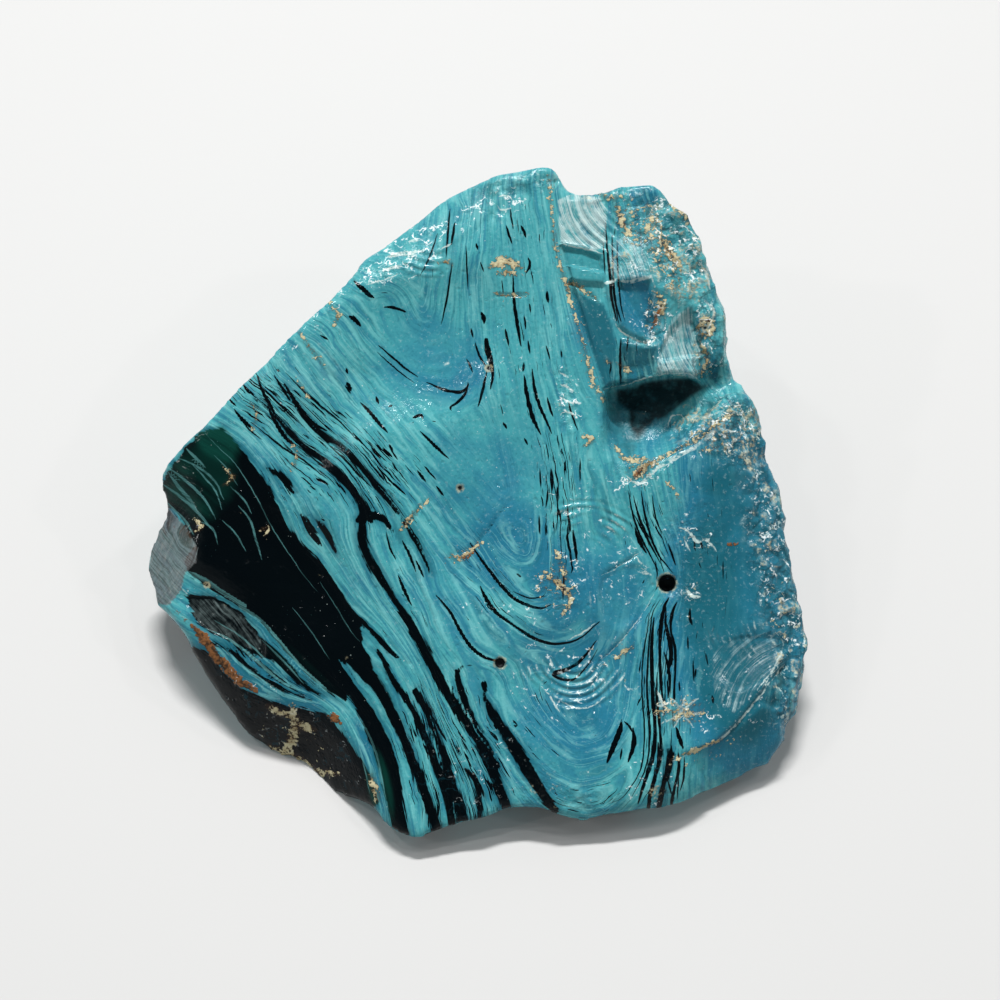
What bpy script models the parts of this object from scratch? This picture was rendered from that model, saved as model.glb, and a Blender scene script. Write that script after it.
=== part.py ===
"""Raw turquoise nugget: one broken lump of blue-green stone that rests on a flat patch.

The stone is shaped with its broad broken face level: x runs across the face, y up it and z out
of it, in millimetres. Then it is tipped to the slope at which it rests, cut flat underneath and
scaled to metres.
"""
import math

import bmesh
import bpy
import numpy
from mathutils import Matrix, Vector, noise

# ---- Driving dimensions (millimetres and degrees, metres only where a name says so) ----
MM = 0.001
FACE_TILT = 20.0            # slope of the broad face once the stone is at rest
FACE_CENTRE_HEIGHT = 13.0   # height of the face's centre above the surface it rests on
STONE_TOP = 6.0             # the blank reaches this far out of the face
STONE_DEPTH = 34.0          # and this far below it
RIM_SPACING = 1.3           # spacing of the points round the rim
FACE_GRID = 0.95            # spacing of the grid that carries the face
SKIN_TRIANGLES = 12500      # triangles left in the whole skin, before the base is cut off
MERGE_DISTANCE = 0.0005
VOXEL_SIZE = 0.55           # fineness of the even skin that replaces the cut faces
SEED_OFFSET = Vector((31.7, 12.3, 5.1))

# Rim of the broad face, clockwise from the top apex
RIM = [
    (6.4, 31.3), (7.6, 30.9), (7.9, 29.4), (8.9, 28.5), (10.6, 28.3), (12.0, 29.0),
    (14.3, 29.3), (16.5, 29.5), (17.1, 28.5), (18.0, 27.5), (19.4, 26.7), (20.7, 23.3),
    (22.3, 19.7), (22.9, 17.6), (23.3, 14.0), (23.6, 12.3), (24.6, 10.5), (25.5, 8.8),
    (26.3, 6.2), (26.8, 3.1), (28.5, -0.6), (28.8, -4.3), (29.4, -6.5), (29.7, -9.6),
    (30.2, -16.4), (29.1, -17.6), (29.5, -19.0), (28.8, -20.3), (27.8, -22.4), (26.5, -24.2),
    (24.1, -25.1), (20.8, -26.1), (18.1, -27.2), (15.2, -27.7), (10.7, -28.4), (9.6, -28.8),
    (7.7, -28.4), (6.6, -27.7), (4.5, -27.5), (3.0, -27.7), (0.1, -28.7), (-3.8, -29.8),
    (-4.6, -30.3), (-6.0, -30.2), (-7.4, -29.6), (-9.5, -27.4), (-12.1, -26.3),
    (-14.1, -25.3), (-17.0, -23.3), (-20.4, -20.8), (-22.7, -17.9), (-25.7, -13.1),
    (-25.7, -12.3), (-27.6, -10.0), (-29.0, -9.0), (-29.0, -7.6), (-29.9, -6.4),
    (-30.4, -2.9), (-30.1, -0.6), (-28.1, 3.5), (-25.8, 5.8), (-23.6, 8.3), (-18.6, 13.9),
    (-13.6, 18.5), (-11.6, 20.9), (-10.6, 23.1), (-9.1, 23.8), (-6.0, 26.3), (-3.7, 28.4),
    (-2.4, 29.3), (0.2, 30.1), (4.2, 30.9),
]

# How far the side wall stands in (-) or out (+) from the rim, by heading round the face:
# heading in degrees, then the offsets at each of WALL_DEPTHS below the face
WALL_DEPTHS = (0.0, 1.2, 3.0, 6.0, 12.0, 20.0, STONE_DEPTH)
RING_SPACING = 1.8          # spacing of the rings down the side wall
WALL_LEAN = [
    (0, (0.2, 0.2, 0.2, -1.0, -4.0, -6.5, -9.0)),
    (35, (0.0, 0.0, 0.0, -1.0, -2.6, -4.5, -7.0)),
    (70, (0.0, 0.0, -0.4, -0.6, -1.2, -2.6, -5.0)),
    (95, (0.0, -0.2, -0.6, -1.0, -1.8, -3.2, -5.0)),
    (135, (0.0, -0.2, -1.0, -2.0, -3.4, -4.6, -6.0)),
    (180, (0.4, 0.4, 0.4, 0.4, -4.6, -7.0, -9.0)),
    (215, (0.2, 0.2, 0.2, 0.2, -2.4, -5.0, -8.0)),
    (243, (0.2, 0.2, 0.2, 0.2, -5.0, -7.0, -9.0)),
    (265, (0.2, 0.2, -2.4, -6.0, -8.0, -9.0, -10.0)),
    (315, (0.2, 0.2, 0.2, -2.2, -6.0, -8.0, -10.0)),
]

# Upper right block, bounded by a crack on its left and an overhanging ledge at its foot
BLOCK_OUTLINE = [
    (6.9, 30.4), (7.0, 27.6), (7.2, 23.3), (8.2, 20.0), (9.4, 15.7), (10.1, 12.8),
    (11.1, 10.7), (12.3, 10.4), (14.5, 10.9), (17.4, 11.5), (19.0, 11.2), (20.3, 10.6),
    (21.7, 12.1), (23.5, 12.4), (23.2, 14.2), (22.8, 17.6), (22.2, 19.7), (20.6, 23.3),
    (19.3, 26.6), (17.9, 27.4), (16.9, 28.4), (16.4, 29.4), (14.3, 29.2), (12.0, 28.9),
    (10.6, 28.2), (8.9, 28.4), (7.8, 29.2),
]
BLOCK_DEPTH = 7.0
BLOCK_INSET = 3.2           # how far the block's foot stands back inside the outer wall
BLOCK_INSET_REACH = (24.0, 27.0)    # from this far off the face's centre
LEDGE_UNDERCUT = 2.6        # how far the ledge leans out over the recess below it
LEDGE_Y = (13.0, 11.5)      # the undercut begins and is whole at these heights on the face
LEDGE_X = (11.0, 12.2)      # and between these places across it
LIP_DEPTH = 0.6             # depth at which the ledge begins to lean

# Recess under the ledge: outline at the face, and where each corner lands on its floor
RECESS_MOUTH = [
    (11.7, 4.4), (13.4, 3.5), (16.6, 3.9), (19.2, 5.4), (22.6, 8.3), (26.5, 10.6),
    (25.5, 15.0), (18.0, 15.0), (11.6, 15.0), (11.5, 9.0),
]
RECESS_FLOOR = [
    (12.2, 6.4, 2.4), (13.7, 5.5, 2.8), (16.2, 5.7, 3.0), (18.6, 7.2, 3.0), (22.0, 9.6, 2.2),
    (26.5, 11.6, 1.6), (25.5, 15.0, 3.2), (18.0, 15.0, 4.2), (12.4, 15.0, 4.4),
    (12.2, 9.4, 3.8),
]

# Edges across the broad face: a path with the downhill side on its left, the slope beyond it
# and how softly the face turns over it
FACE_EDGES = [
    # dark flank that falls away on the left
    ([(-1.0, -34.0), (-2.0, -20.0), (-8.0, 0.0), (-17.0, 20.0)], 0.10, 3.0),
    # grey facet and chipped edge at the far left
    ([(-27.0, -12.0), (-25.7, -6.8), (-25.1, -0.5), (-27.0, 3.4), (-33.0, 7.0)], 0.75, 0.3),
    # steep side facet under the rusty edge
    ([(-7.6, -34.0), (-8.0, -27.6), (-10.8, -22.0), (-13.5, -19.0), (-19.8, -17.3),
      (-25.0, -12.2), (-33.0, -6.5)], 0.86, 0.3),
    # outer side of the upper left ridge
    ([(-18.0, 19.0), (-9.7, 19.9), (-3.4, 22.5), (0.6, 25.3), (2.4, 28.0), (3.0, 34.0)],
     0.42, 0.5),
    # rough rind down the right edge
    ([(21.6, 16.0), (21.9, 11.0), (22.3, 8.0), (23.4, 2.7), (24.3, -1.8), (25.3, -5.5),
      (26.0, -11.0), (26.3, -21.0)], 0.62, 0.8),
    # facet at the lower right corner, and the chipped foot of the face
    ([(32.0, -12.8), (27.3, -16.8), (22.5, -20.0), (18.4, -23.6), (15.5, -30.0)], 0.50, 0.3),
    ([(21.0, -24.8), (12.5, -26.4), (8.0, -27.0), (5.0, -32.0)], 0.45, 0.4),
]
MAX_FACE_DROP = 8.0
FACE_WAVE = (0.35, 11.0)    # height and length of the face's long waves

# Shallow broken hollows in the broad face: centre, half widths, turn and depth
HOLLOWS = [
    (-4.6, 14.6, 9.0, 7.2, 40.0, 1.5),      # upper left hollow
    (-12.6, 8.0, 7.0, 3.6, 52.0, 0.7),      # its shallow neighbour down the left edge
    (8.8, -16.2, 7.2, 5.6, 10.0, 0.8),      # rippled fan near the foot
    (13.4, -9.2, 2.6, 2.2, 15.0, 0.4),      # small lens beside the bubble
    (26.4, -13.6, 3.8, 2.4, 20.0, 0.9),     # fan chip in the right edge
    (-1.0, -4.5, 6.5, 4.0, 115.0, 0.4),     # middle of the face
    (-14.5, -6.5, 8.0, 4.0, 128.0, 0.8),    # along the black flank
    (-24.2, -8.6, 3.6, 2.2, 140.0, 0.5),    # grey lens at the left
    (11.2, -3.0, 3.0, 2.6, 80.0, 0.4),      # ripple patch
    (19.0, -7.5, 6.0, 9.0, 5.0, 0.5),       # broad blue hollow on the right
    (3.2, 3.6, 3.0, 6.5, 5.0, 0.3),
]
HOLLOW_EDGE = 0.10          # share of a hollow's width over which its edge is rounded

STEP_X = 12.4               # right of this line the face stands lower
STEP_DROP = 0.6
STEP_WIDTH = 2.2
STEP_TOP = (9.0, 5.0)       # it runs out upwards between these heights on the face
STEP_FOOT = (-22.0, -8.0)   # and downwards between these

# The block's top rises from the crack to a ridge and falls to the back, the foot and the margin
BLOCK_TOP = 1.5             # height of the ridge
BLOCK_RIDGE = (15.5, 21.0)
BLOCK_SLOPES = {"crack": 0.29, "margin": 0.42, "back": 0.32, "foot": 0.08}
BLOCK_ROUNDING = {"crack": 0.4, "margin": 0.6, "back": 0.3, "foot": 0.3}
BLOCK_LEVEL = {"margin": 2.5, "back": 1.5}      # level strip between the ridge and the slope
BLOCK_WAVE = (0.25, 3.0)
BLOCK_SHEET = ((5, 8), (26, 32))    # corners of the sheet that its top is cut from
FACE_SHEET = ((-33, -33), (33, 34))
BLOCK_HOLLOWS = [
    (9.9, 21.4, 2.9, 1.9, 12.0, 1.0),   # dark facet beside the crack
    (9.6, 26.0, 2.6, 2.6, 0.0, 0.5),    # striated glossy facet above it
    (14.8, 16.9, 2.3, 3.3, 5.0, 0.8),   # smooth blue facet
    (13.6, 12.2, 3.6, 1.9, 6.0, 0.7),   # dished top of the ledge
    (19.3, 14.6, 2.2, 4.0, 12.0, 1.0),  # grey striated facet
    (18.4, 22.6, 2.6, 3.6, 25.0, 0.9),  # rough margin
    (15.0, 26.6, 2.2, 1.6, 0.0, 0.6),
]

# Shell-like breaks in the side wall: heading round the face, depth below it, radius of the
# break and how deep it bites
SIDE_BREAKS = [
    (152, 11.0, 12.0, 2.4), (128, 15.0, 16.0, 3.2), (104, 12.0, 11.0, 2.4),
    (92, 20.0, 14.0, 3.4), (72, 15.0, 11.0, 2.4), (55, 20.0, 15.0, 3.2), (40, 13.0, 10.0, 2.2),
    (20, 14.0, 11.0, 2.4), (0, 13.0, 9.0, 2.2), (338, 12.0, 8.0, 2.0), (176, 12.0, 9.0, 2.0),
]
RECESS_LIP = 0.1            # the recess starts to narrow this far below the face
RIM_CLEARANCE = 4.0         # the breaks stay this far below the face at the rim
# Flakes off the rim of the underside: (x, y) at rest, radius and bite
BASE_BREAKS = [
    (-19.0, 14.0, 18.0, 3.2), (-4.0, 27.0, 16.0, 3.0), (17.0, 25.0, 17.0, 3.4),
    (24.0, 6.0, 14.0, 2.4), (24.0, -14.0, 12.0, 1.6), (5.0, -30.0, 13.0, 1.2),
    (-21.0, -8.0, 9.0, 1.0),
]
# Round gas bubbles that the break opened, and the pit beside the ledge: centre and radius
BUBBLES = [(17.3, -7.6, -1.6, 0.80), (2.3, -14.7, -0.4, 0.50), (21.9, 11.7, -1.4, 1.0)]

# Roughness of the broken surface: lump height on the clean face, added on the rind and added
# on the hidden sides, with the bands over which each of them sets in
FACE_LUMPS = 0.10
RIND_LUMPS = 0.45
HIDDEN_LUMPS = 0.30
RIND_X = (21.5, 25.5)
MARGIN_X = (16.0, 20.0)
MARGIN_Y = (10.0, 14.0)
HIDDEN_Z = (-3.0, -8.0)
LUMP_SIZES = (2.3, 1.1)
TABLE_SIZE = 100.0          # side of the block that cuts the underside flat

STONE_COLOUR = (0.055, 0.33, 0.42, 1.0)
STONE_ROUGHNESS = 0.22


# ---- Small helpers ----
def smooth(start, end, value):
    """Blend from 0 at the start to 1 at the end, with level ends."""
    t = min(1.0, max(0.0, (value - start) / (end - start)))
    return t * t * (3.0 - 2.0 * t)


def left_of(x, y, path):
    """Distance of (x, y) from a path, positive on the left of its direction."""
    nearest = (math.inf, 0.0)
    for (ax, ay), (bx, by) in zip(path, path[1:]):
        run_x, run_y = bx - ax, by - ay
        along = ((x - ax) * run_x + (y - ay) * run_y) / (run_x ** 2 + run_y ** 2)
        along = min(1.0, max(0.0, along))
        gap = math.hypot(x - ax - along * run_x, y - ay - along * run_y)
        side = (y - ay) * run_x - (x - ax) * run_y
        nearest = min(nearest, (gap, math.copysign(gap, side)))
    return nearest[1]


def soft_ramp(distance, softness):
    """Zero before the crease and rising in step with the distance after it."""
    return 0.5 * (distance + math.sqrt(distance * distance + softness * softness))


def hollow_depth(x, y, centre_x, centre_y, half_x, half_y, turn, depth):
    """Depth of a dished hollow at (x, y), with a crisp rim."""
    angle = math.radians(turn)
    dx, dy = x - centre_x, y - centre_y
    along = (dx * math.cos(angle) + dy * math.sin(angle)) / half_x
    across = (dy * math.cos(angle) - dx * math.sin(angle)) / half_y
    inside = 1.0 - along * along - across * across
    return depth * soft_ramp(inside, HOLLOW_EDGE)


def resample(points, spacing):
    """Points along a closed outline, at most the spacing apart, keeping its corners."""
    result = []
    for start, end in zip(points, points[1:] + points[:1]):
        length = math.dist(start, end)
        steps = max(1, round(length / spacing))
        for step in range(steps):
            share = step / steps
            result.append((start[0] + (end[0] - start[0]) * share,
                           start[1] + (end[1] - start[1]) * share))
    return result


def at_depth(offsets, depth):
    """Offset at a depth, in proportion between the depths that are listed."""
    return float(numpy.interp(depth, WALL_DEPTHS, offsets))


def wall_offset(heading, depth):
    """Offset of the side wall at a heading and depth, blended between the listed headings."""
    for (start, offsets), (end, following) in zip(WALL_LEAN, WALL_LEAN[1:] + WALL_LEAN[:1]):
        span = (end - start) % 360
        travelled = (heading - start) % 360
        if travelled < span:
            share = smooth(0.0, 1.0, travelled / span)
            return at_depth(offsets, depth) * (1.0 - share) + at_depth(following, depth) * share
    return at_depth(WALL_LEAN[0][1], depth)


def rim_reach(heading):
    """Distance from the face's centre to the rim at a heading."""
    def turn_to(point):
        """Angle between the heading and that of a point of the rim."""
        turn = math.degrees(math.atan2(point[1], point[0])) - heading
        return abs((turn + 180) % 360 - 180)

    return math.hypot(*min(resample(RIM, RIM_SPACING), key=turn_to))


def waves(x, y, level, wave):
    """Gentle unevenness at (x, y), for a wave's height and length."""
    height, length = wave
    return height * noise.noise(Vector((x, y, level)) / length + SEED_OFFSET)


def rest_matrix():
    """Turn from the level face to the slope at which the stone rests."""
    lift = Matrix.Translation((0, 0, FACE_CENTRE_HEIGHT))
    return lift @ Matrix.Rotation(math.radians(FACE_TILT), 4, "X")


# ---- Heights of the broken face ----
def face_height(x, y):
    """Height of the broad face, as a sum of its creases, hollows and steps."""
    height = waves(x, y, 0.0, FACE_WAVE)
    for path, slope, softness in FACE_EDGES:
        height -= slope * soft_ramp(left_of(x, y, path), softness)
    for hollow in HOLLOWS:
        height -= hollow_depth(x, y, *hollow)
    right_side = smooth(STEP_X - STEP_WIDTH, STEP_X + STEP_WIDTH, x)
    beside_recess = smooth(*STEP_TOP, y) * smooth(*STEP_FOOT, y)
    height -= STEP_DROP * right_side * beside_recess
    return max(height, -MAX_FACE_DROP)


def block_height(x, y):
    """Height of the upper right block: four slopes round a ridge, less its hollows."""
    dx, dy = x - BLOCK_RIDGE[0], y - BLOCK_RIDGE[1]
    height = BLOCK_TOP
    past = {"crack": -dx, "margin": dx - BLOCK_LEVEL["margin"], "back": dy - BLOCK_LEVEL["back"],
            "foot": -dy}
    for side, distance in past.items():
        height -= BLOCK_SLOPES[side] * soft_ramp(distance, BLOCK_ROUNDING[side])
    for hollow in BLOCK_HOLLOWS:
        height -= hollow_depth(x, y, *hollow)
    return height + waves(x, y, 4.0, BLOCK_WAVE)


# ---- Solids ----
def new_object(name, mesh, collection):
    """Object of the given mesh in the given collection."""
    created = bpy.data.objects.new(name, mesh)
    collection.objects.link(created)
    return created


def sheet_block(name, height_at, corner, far_corner, collection):
    """Solid block whose top follows a height function, from a grid primitive."""
    size_x, size_y = far_corner[0] - corner[0], far_corner[1] - corner[1]
    cells_x, cells_y = round(size_x / FACE_GRID), round(size_y / FACE_GRID)
    shape = bmesh.new()
    bmesh.ops.create_grid(shape, x_segments=cells_x, y_segments=cells_y, size=0.5)
    centre = Vector(((corner[0] + far_corner[0]) / 2, (corner[1] + far_corner[1]) / 2, 0))
    for vertex in shape.verts:
        vertex.co = Vector((vertex.co.x * size_x, vertex.co.y * size_y, 0)) + centre
    skirt = bmesh.ops.extrude_face_region(shape, geom=shape.faces[:])
    top = [item for item in skirt["geom"] if isinstance(item, bmesh.types.BMVert)]
    raised = set(top)
    for vertex in shape.verts:
        if vertex in raised:
            vertex.co.z = height_at(vertex.co.x, vertex.co.y)
        else:
            vertex.co.z = -STONE_DEPTH - 2.0
    bmesh.ops.recalc_face_normals(shape, faces=shape.faces)
    mesh = bpy.data.meshes.new(name)
    shape.to_mesh(mesh)
    shape.free()
    return new_object(name, mesh, collection)


def lofted(name, rings, collection):
    """Closed solid that joins rings of equal point counts, from top to bottom."""
    shape = bmesh.new()
    loops = [[shape.verts.new(point) for point in ring] for ring in rings]
    count = len(rings[0])
    for upper, lower in zip(loops, loops[1:]):
        for index in range(count):
            following = (index + 1) % count
            shape.faces.new((upper[index], upper[following], lower[following], lower[index]))
    shape.faces.new(loops[0])
    shape.faces.new(loops[-1])
    bmesh.ops.recalc_face_normals(shape, faces=shape.faces)
    mesh = bpy.data.meshes.new(name)
    shape.to_mesh(mesh)
    shape.free()
    return new_object(name, mesh, collection)


def wall_rings():
    """Rings of the side wall, from above the face down to below the base."""
    outline = resample(RIM, RIM_SPACING)
    rings = [[(x, y, STONE_TOP) for x, y in outline]]
    for depth in numpy.linspace(0.0, STONE_DEPTH, round(STONE_DEPTH / RING_SPACING) + 1):
        ring = []
        for x, y in outline:
            heading = math.degrees(math.atan2(y, x)) % 360
            share = 1.0 + wall_offset(heading, depth) / math.hypot(x, y)
            ring.append((x * share, y * share, -depth))
        rings.append(ring)
    return rings


def block_rings():
    """Rings of the block's side: straight down, but leaning in under the ledge."""
    upper = [(x, y, STONE_TOP) for x, y in BLOCK_OUTLINE]
    lip = [(x, y, -LIP_DEPTH) for x, y in BLOCK_OUTLINE]
    foot = []
    for x, y in BLOCK_OUTLINE:
        under = smooth(*LEDGE_Y, y) * smooth(*LEDGE_X, x)
        inset = BLOCK_INSET * smooth(*BLOCK_INSET_REACH, math.hypot(x, y))
        share = 1.0 - inset / math.hypot(x, y)
        foot.append((x * share, y * share + LEDGE_UNDERCUT * under, -BLOCK_DEPTH))
    return [upper, lip, foot]


def ball(name, centre, radius, collection, subdivisions=4):
    """Icosphere cutter."""
    shape = bmesh.new()
    bmesh.ops.create_icosphere(shape, subdivisions=subdivisions, radius=radius)
    bmesh.ops.translate(shape, verts=shape.verts, vec=Vector(centre))
    mesh = bpy.data.meshes.new(name)
    shape.to_mesh(mesh)
    shape.free()
    return new_object(name, mesh, collection)


def triangulate(mesh):
    """Cut every face into triangles, and merge the points that a cut left almost together."""
    shape = bmesh.new()
    shape.from_mesh(mesh)
    bmesh.ops.remove_doubles(shape, verts=shape.verts, dist=MERGE_DISTANCE)
    bmesh.ops.triangulate(shape, faces=shape.faces)
    shape.to_mesh(mesh)
    shape.free()


def combine(target, tool, operation):
    """Apply an exact Boolean of the tool to the target, and remove the tool."""
    triangulate(target.data)
    triangulate(tool.data)
    modifier = target.modifiers.new(tool.name, "BOOLEAN")
    modifier.operation = operation
    modifier.solver = "EXACT"
    modifier.object = tool
    bake(target)
    bpy.data.objects.remove(tool)


def bake(target):
    """Replace the target's mesh by the result of its modifiers."""
    depsgraph = bpy.context.evaluated_depsgraph_get()
    mesh = bpy.data.meshes.new_from_object(target.evaluated_get(depsgraph))
    target.modifiers.clear()
    target.data = mesh


# ---- Steps ----
def blank(parts, cutters):
    """Body of the stone: the broken face bounded by the side wall."""
    stone = sheet_block("turquoise_nugget", face_height, *FACE_SHEET, parts)
    wall = lofted("wall", wall_rings(), cutters)
    combine(stone, wall, "INTERSECT")
    return stone


def cut_recess(stone, cutters):
    """Cut the dark recess that the ledge overhangs."""
    upper = [(x, y, STONE_TOP) for x, y in RECESS_MOUTH]
    mouth = [(x, y, face_height(x, y) - RECESS_LIP) for x, y in RECESS_MOUTH]
    floor = [(x, y, -depth) for x, y, depth in RECESS_FLOOR]
    combine(stone, lofted("recess", [upper, mouth, floor], cutters), "DIFFERENCE")


def add_block(stone, cutters):
    """Fuse the upper right block to the stone."""
    block = sheet_block("block", block_height, *BLOCK_SHEET, cutters)
    combine(block, lofted("block_side", block_rings(), cutters), "INTERSECT")
    combine(stone, block, "UNION")


def cut_breaks(stone, cutters):
    """Break the back and the underside into shell-like faces."""
    for heading, depth, radius, bite in SIDE_BREAKS:
        rim = rim_reach(heading)
        half_width = math.sqrt(max(0.0, radius ** 2 - (depth - RIM_CLEARANCE) ** 2))
        reach = max(rim + wall_offset(heading, depth) - bite + radius, rim + half_width)
        turn = math.radians(heading)
        centre = (reach * math.cos(turn), reach * math.sin(turn), -depth)
        combine(stone, ball("break", centre, radius, cutters), "DIFFERENCE")
    for x, y, radius, bite in BASE_BREAKS:
        centre = rest_matrix().inverted() @ Vector((x, y, bite - radius))
        combine(stone, ball("flake", centre, radius, cutters), "DIFFERENCE")


def open_bubbles(stone, cutters):
    """Open the round gas bubbles and the pit beside the ledge."""
    for x, y, z, radius in BUBBLES:
        combine(stone, ball("bubble", (x, y, z), radius, cutters, 2), "DIFFERENCE")


def roughness_at(point):
    """How rough the broken surface is, from the smooth face to the rind and hidden sides."""
    rind = smooth(*RIND_X, point.x) + smooth(*MARGIN_X, point.x) * smooth(*MARGIN_Y, point.y)
    hidden = smooth(*HIDDEN_Z, point.z)
    return FACE_LUMPS + RIND_LUMPS * min(1.0, rind) + HIDDEN_LUMPS * hidden


def roughen(stone):
    """Give the surface its small lumps, along the vertex normals."""
    coarse, fine = LUMP_SIZES
    moves = []
    for vertex in stone.data.vertices:
        point = vertex.co
        lump = noise.noise(point / coarse + SEED_OFFSET) + 0.5 * noise.noise(point / fine)
        moves.append(vertex.normal * lump * roughness_at(point))
    for vertex, move in zip(stone.data.vertices, moves):
        vertex.co += move


def even_skin(stone):
    """Replace the cut faces by one even skin."""
    remesh = stone.modifiers.new("remesh", "REMESH")
    remesh.mode = "VOXEL"
    remesh.voxel_size = VOXEL_SIZE
    bake(stone)


def simplify(stone):
    """Bring the triangle count down without losing the edges."""
    triangulate(stone.data)
    decimate = stone.modifiers.new("decimate", "DECIMATE")
    decimate.ratio = SKIN_TRIANGLES / len(stone.data.polygons)
    bake(stone)


def set_down(stone, cutters):
    """Tip the stone to its resting slope, cut it flat underneath, centre and scale it."""
    stone.data.transform(rest_matrix())
    shape = bmesh.new()
    bmesh.ops.create_cube(shape, size=TABLE_SIZE)
    bmesh.ops.translate(shape, verts=shape.verts, vec=(0, 0, -TABLE_SIZE / 2))
    mesh = bpy.data.meshes.new("table")
    shape.to_mesh(mesh)
    shape.free()
    combine(stone, new_object("table", mesh, cutters), "DIFFERENCE")
    low = Vector(min(v.co[axis] for v in stone.data.vertices) for axis in range(3))
    high = Vector(max(v.co[axis] for v in stone.data.vertices) for axis in range(3))
    middle = (low + high) / 2
    centre = Matrix.Translation((-middle.x, -middle.y, 0))
    stone.data.transform(Matrix.Scale(MM, 4) @ centre)


def stone_material():
    """Glossy blue-green stone."""
    material = bpy.data.materials.new("turquoise")
    material.use_nodes = True
    shader = material.node_tree.nodes["Principled BSDF"]
    shader.inputs["Base Color"].default_value = STONE_COLOUR
    shader.inputs["Roughness"].default_value = STONE_ROUGHNESS
    shader.inputs["Metallic"].default_value = 0.0
    return material


def new_collection(name):
    """Collection in the open scene."""
    collection = bpy.data.collections.new(name)
    bpy.context.scene.collection.children.link(collection)
    return collection


def main():
    """Build the stone in a scene with nothing else in it."""
    for existing in list(bpy.data.objects):
        bpy.data.objects.remove(existing)
    parts = new_collection("raw_turquoise_nugget")
    cutters = new_collection("cutters")
    stone = blank(parts, cutters)
    cut_recess(stone, cutters)
    add_block(stone, cutters)
    cut_breaks(stone, cutters)
    even_skin(stone)
    roughen(stone)
    simplify(stone)
    open_bubbles(stone, cutters)
    set_down(stone, cutters)
    stone.data.materials.clear()
    stone.data.materials.append(stone_material())


main()
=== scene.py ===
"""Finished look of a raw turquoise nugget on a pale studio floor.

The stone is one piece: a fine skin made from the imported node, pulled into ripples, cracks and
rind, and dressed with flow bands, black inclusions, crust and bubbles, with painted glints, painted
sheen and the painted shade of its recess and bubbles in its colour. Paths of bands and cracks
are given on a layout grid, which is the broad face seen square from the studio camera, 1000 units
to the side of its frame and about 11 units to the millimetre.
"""

import logging
import math
from collections.abc import Callable, Sequence
from dataclasses import dataclass, field
from enum import Enum

import bpy
import numpy as np
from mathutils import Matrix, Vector, noise


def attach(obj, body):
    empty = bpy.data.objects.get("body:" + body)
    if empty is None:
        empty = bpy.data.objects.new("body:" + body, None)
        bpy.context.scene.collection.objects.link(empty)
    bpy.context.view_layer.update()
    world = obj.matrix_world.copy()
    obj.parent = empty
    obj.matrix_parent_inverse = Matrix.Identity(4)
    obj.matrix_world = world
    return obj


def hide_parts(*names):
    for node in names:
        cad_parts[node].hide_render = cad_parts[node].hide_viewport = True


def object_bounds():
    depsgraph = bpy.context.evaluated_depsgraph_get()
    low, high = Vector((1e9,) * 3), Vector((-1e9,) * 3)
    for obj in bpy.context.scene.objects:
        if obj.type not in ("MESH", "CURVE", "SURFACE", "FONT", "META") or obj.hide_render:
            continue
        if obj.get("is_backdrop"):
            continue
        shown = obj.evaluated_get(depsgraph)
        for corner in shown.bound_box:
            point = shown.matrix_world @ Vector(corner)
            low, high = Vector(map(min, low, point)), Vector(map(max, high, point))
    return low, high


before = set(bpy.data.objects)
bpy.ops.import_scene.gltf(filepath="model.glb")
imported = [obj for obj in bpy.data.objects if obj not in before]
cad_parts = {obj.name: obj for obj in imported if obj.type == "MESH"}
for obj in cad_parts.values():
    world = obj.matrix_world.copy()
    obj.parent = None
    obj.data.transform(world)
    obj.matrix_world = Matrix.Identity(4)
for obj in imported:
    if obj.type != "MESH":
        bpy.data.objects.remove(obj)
CAD_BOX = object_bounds()

logging.basicConfig(level=logging.INFO, format="%(message)s")
LOG = logging.getLogger("nugget")

NODE = "turquoise_nugget"
MM = 0.001
Array = np.ndarray
Point = tuple[float, float]
Colour = tuple[float, float, float]


# ---- Small numeric helpers ----
def smoothstep(low: float, high: float, value: Array) -> Array:
    """Blend from 0 at low to 1 at high with level ends."""
    share = np.clip((value - low) / (high - low), 0.0, 1.0)
    return share * share * (3.0 - 2.0 * share)


def spline(knots: Array, spacing: float) -> Array:
    """Smooth path through knots.

    Args:
        knots: One row a knot, of any number of columns, the first two being its place.
        spacing: Largest distance between neighbouring points of the result.

    Returns:
        Rows of the same columns along a Catmull-Rom curve.
    """
    padded = np.vstack([2 * knots[0] - knots[1], knots, 2 * knots[-1] - knots[-2]])
    rows = []
    for before, start, end, after in zip(padded, padded[1:], padded[2:], padded[3:]):
        count = max(1, math.ceil(np.linalg.norm(end[:2] - start[:2]) / spacing))
        for share in np.arange(count) / count:
            rows.append(0.5 * (2 * start + (end - before) * share
                               + (2 * before - 5 * start + 4 * end - after) * share ** 2
                               + (3 * start - before - 3 * end + after) * share ** 3))
    rows.append(knots[-1])
    return np.array(rows)


def path_lengths(points: Array) -> Array:
    """Distance along a path at each of its points."""
    steps = np.linalg.norm(np.diff(points[:, :2], axis=0), axis=1)
    return np.concatenate([[0.0], np.cumsum(steps)])


def trail(text: str) -> tuple[tuple[float, ...], ...]:
    """Points from a text, with commas inside a point and spaces between two."""
    return tuple(tuple(map(float, point.split(","))) for point in text.split())


def close_to(shape: Array, places: Array, margin: float) -> Array:
    """Indices of the places within a margin round the box of a path or outline."""
    low, high = shape[:, :2].min(0) - margin, shape[:, :2].max(0) + margin
    return np.flatnonzero(np.all((places > low) & (places < high), axis=1))


@dataclass(frozen=True)
class Nearest:
    """What a path is to each of a set of places.

    Attributes:
        aside: Distance across the path, positive on the right hand of its direction.
        over: How far a place lies beyond the path's end.
        width: The path's third column at the nearest point, or zeros.
    """

    aside: Array
    over: Array
    width: Array


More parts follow.
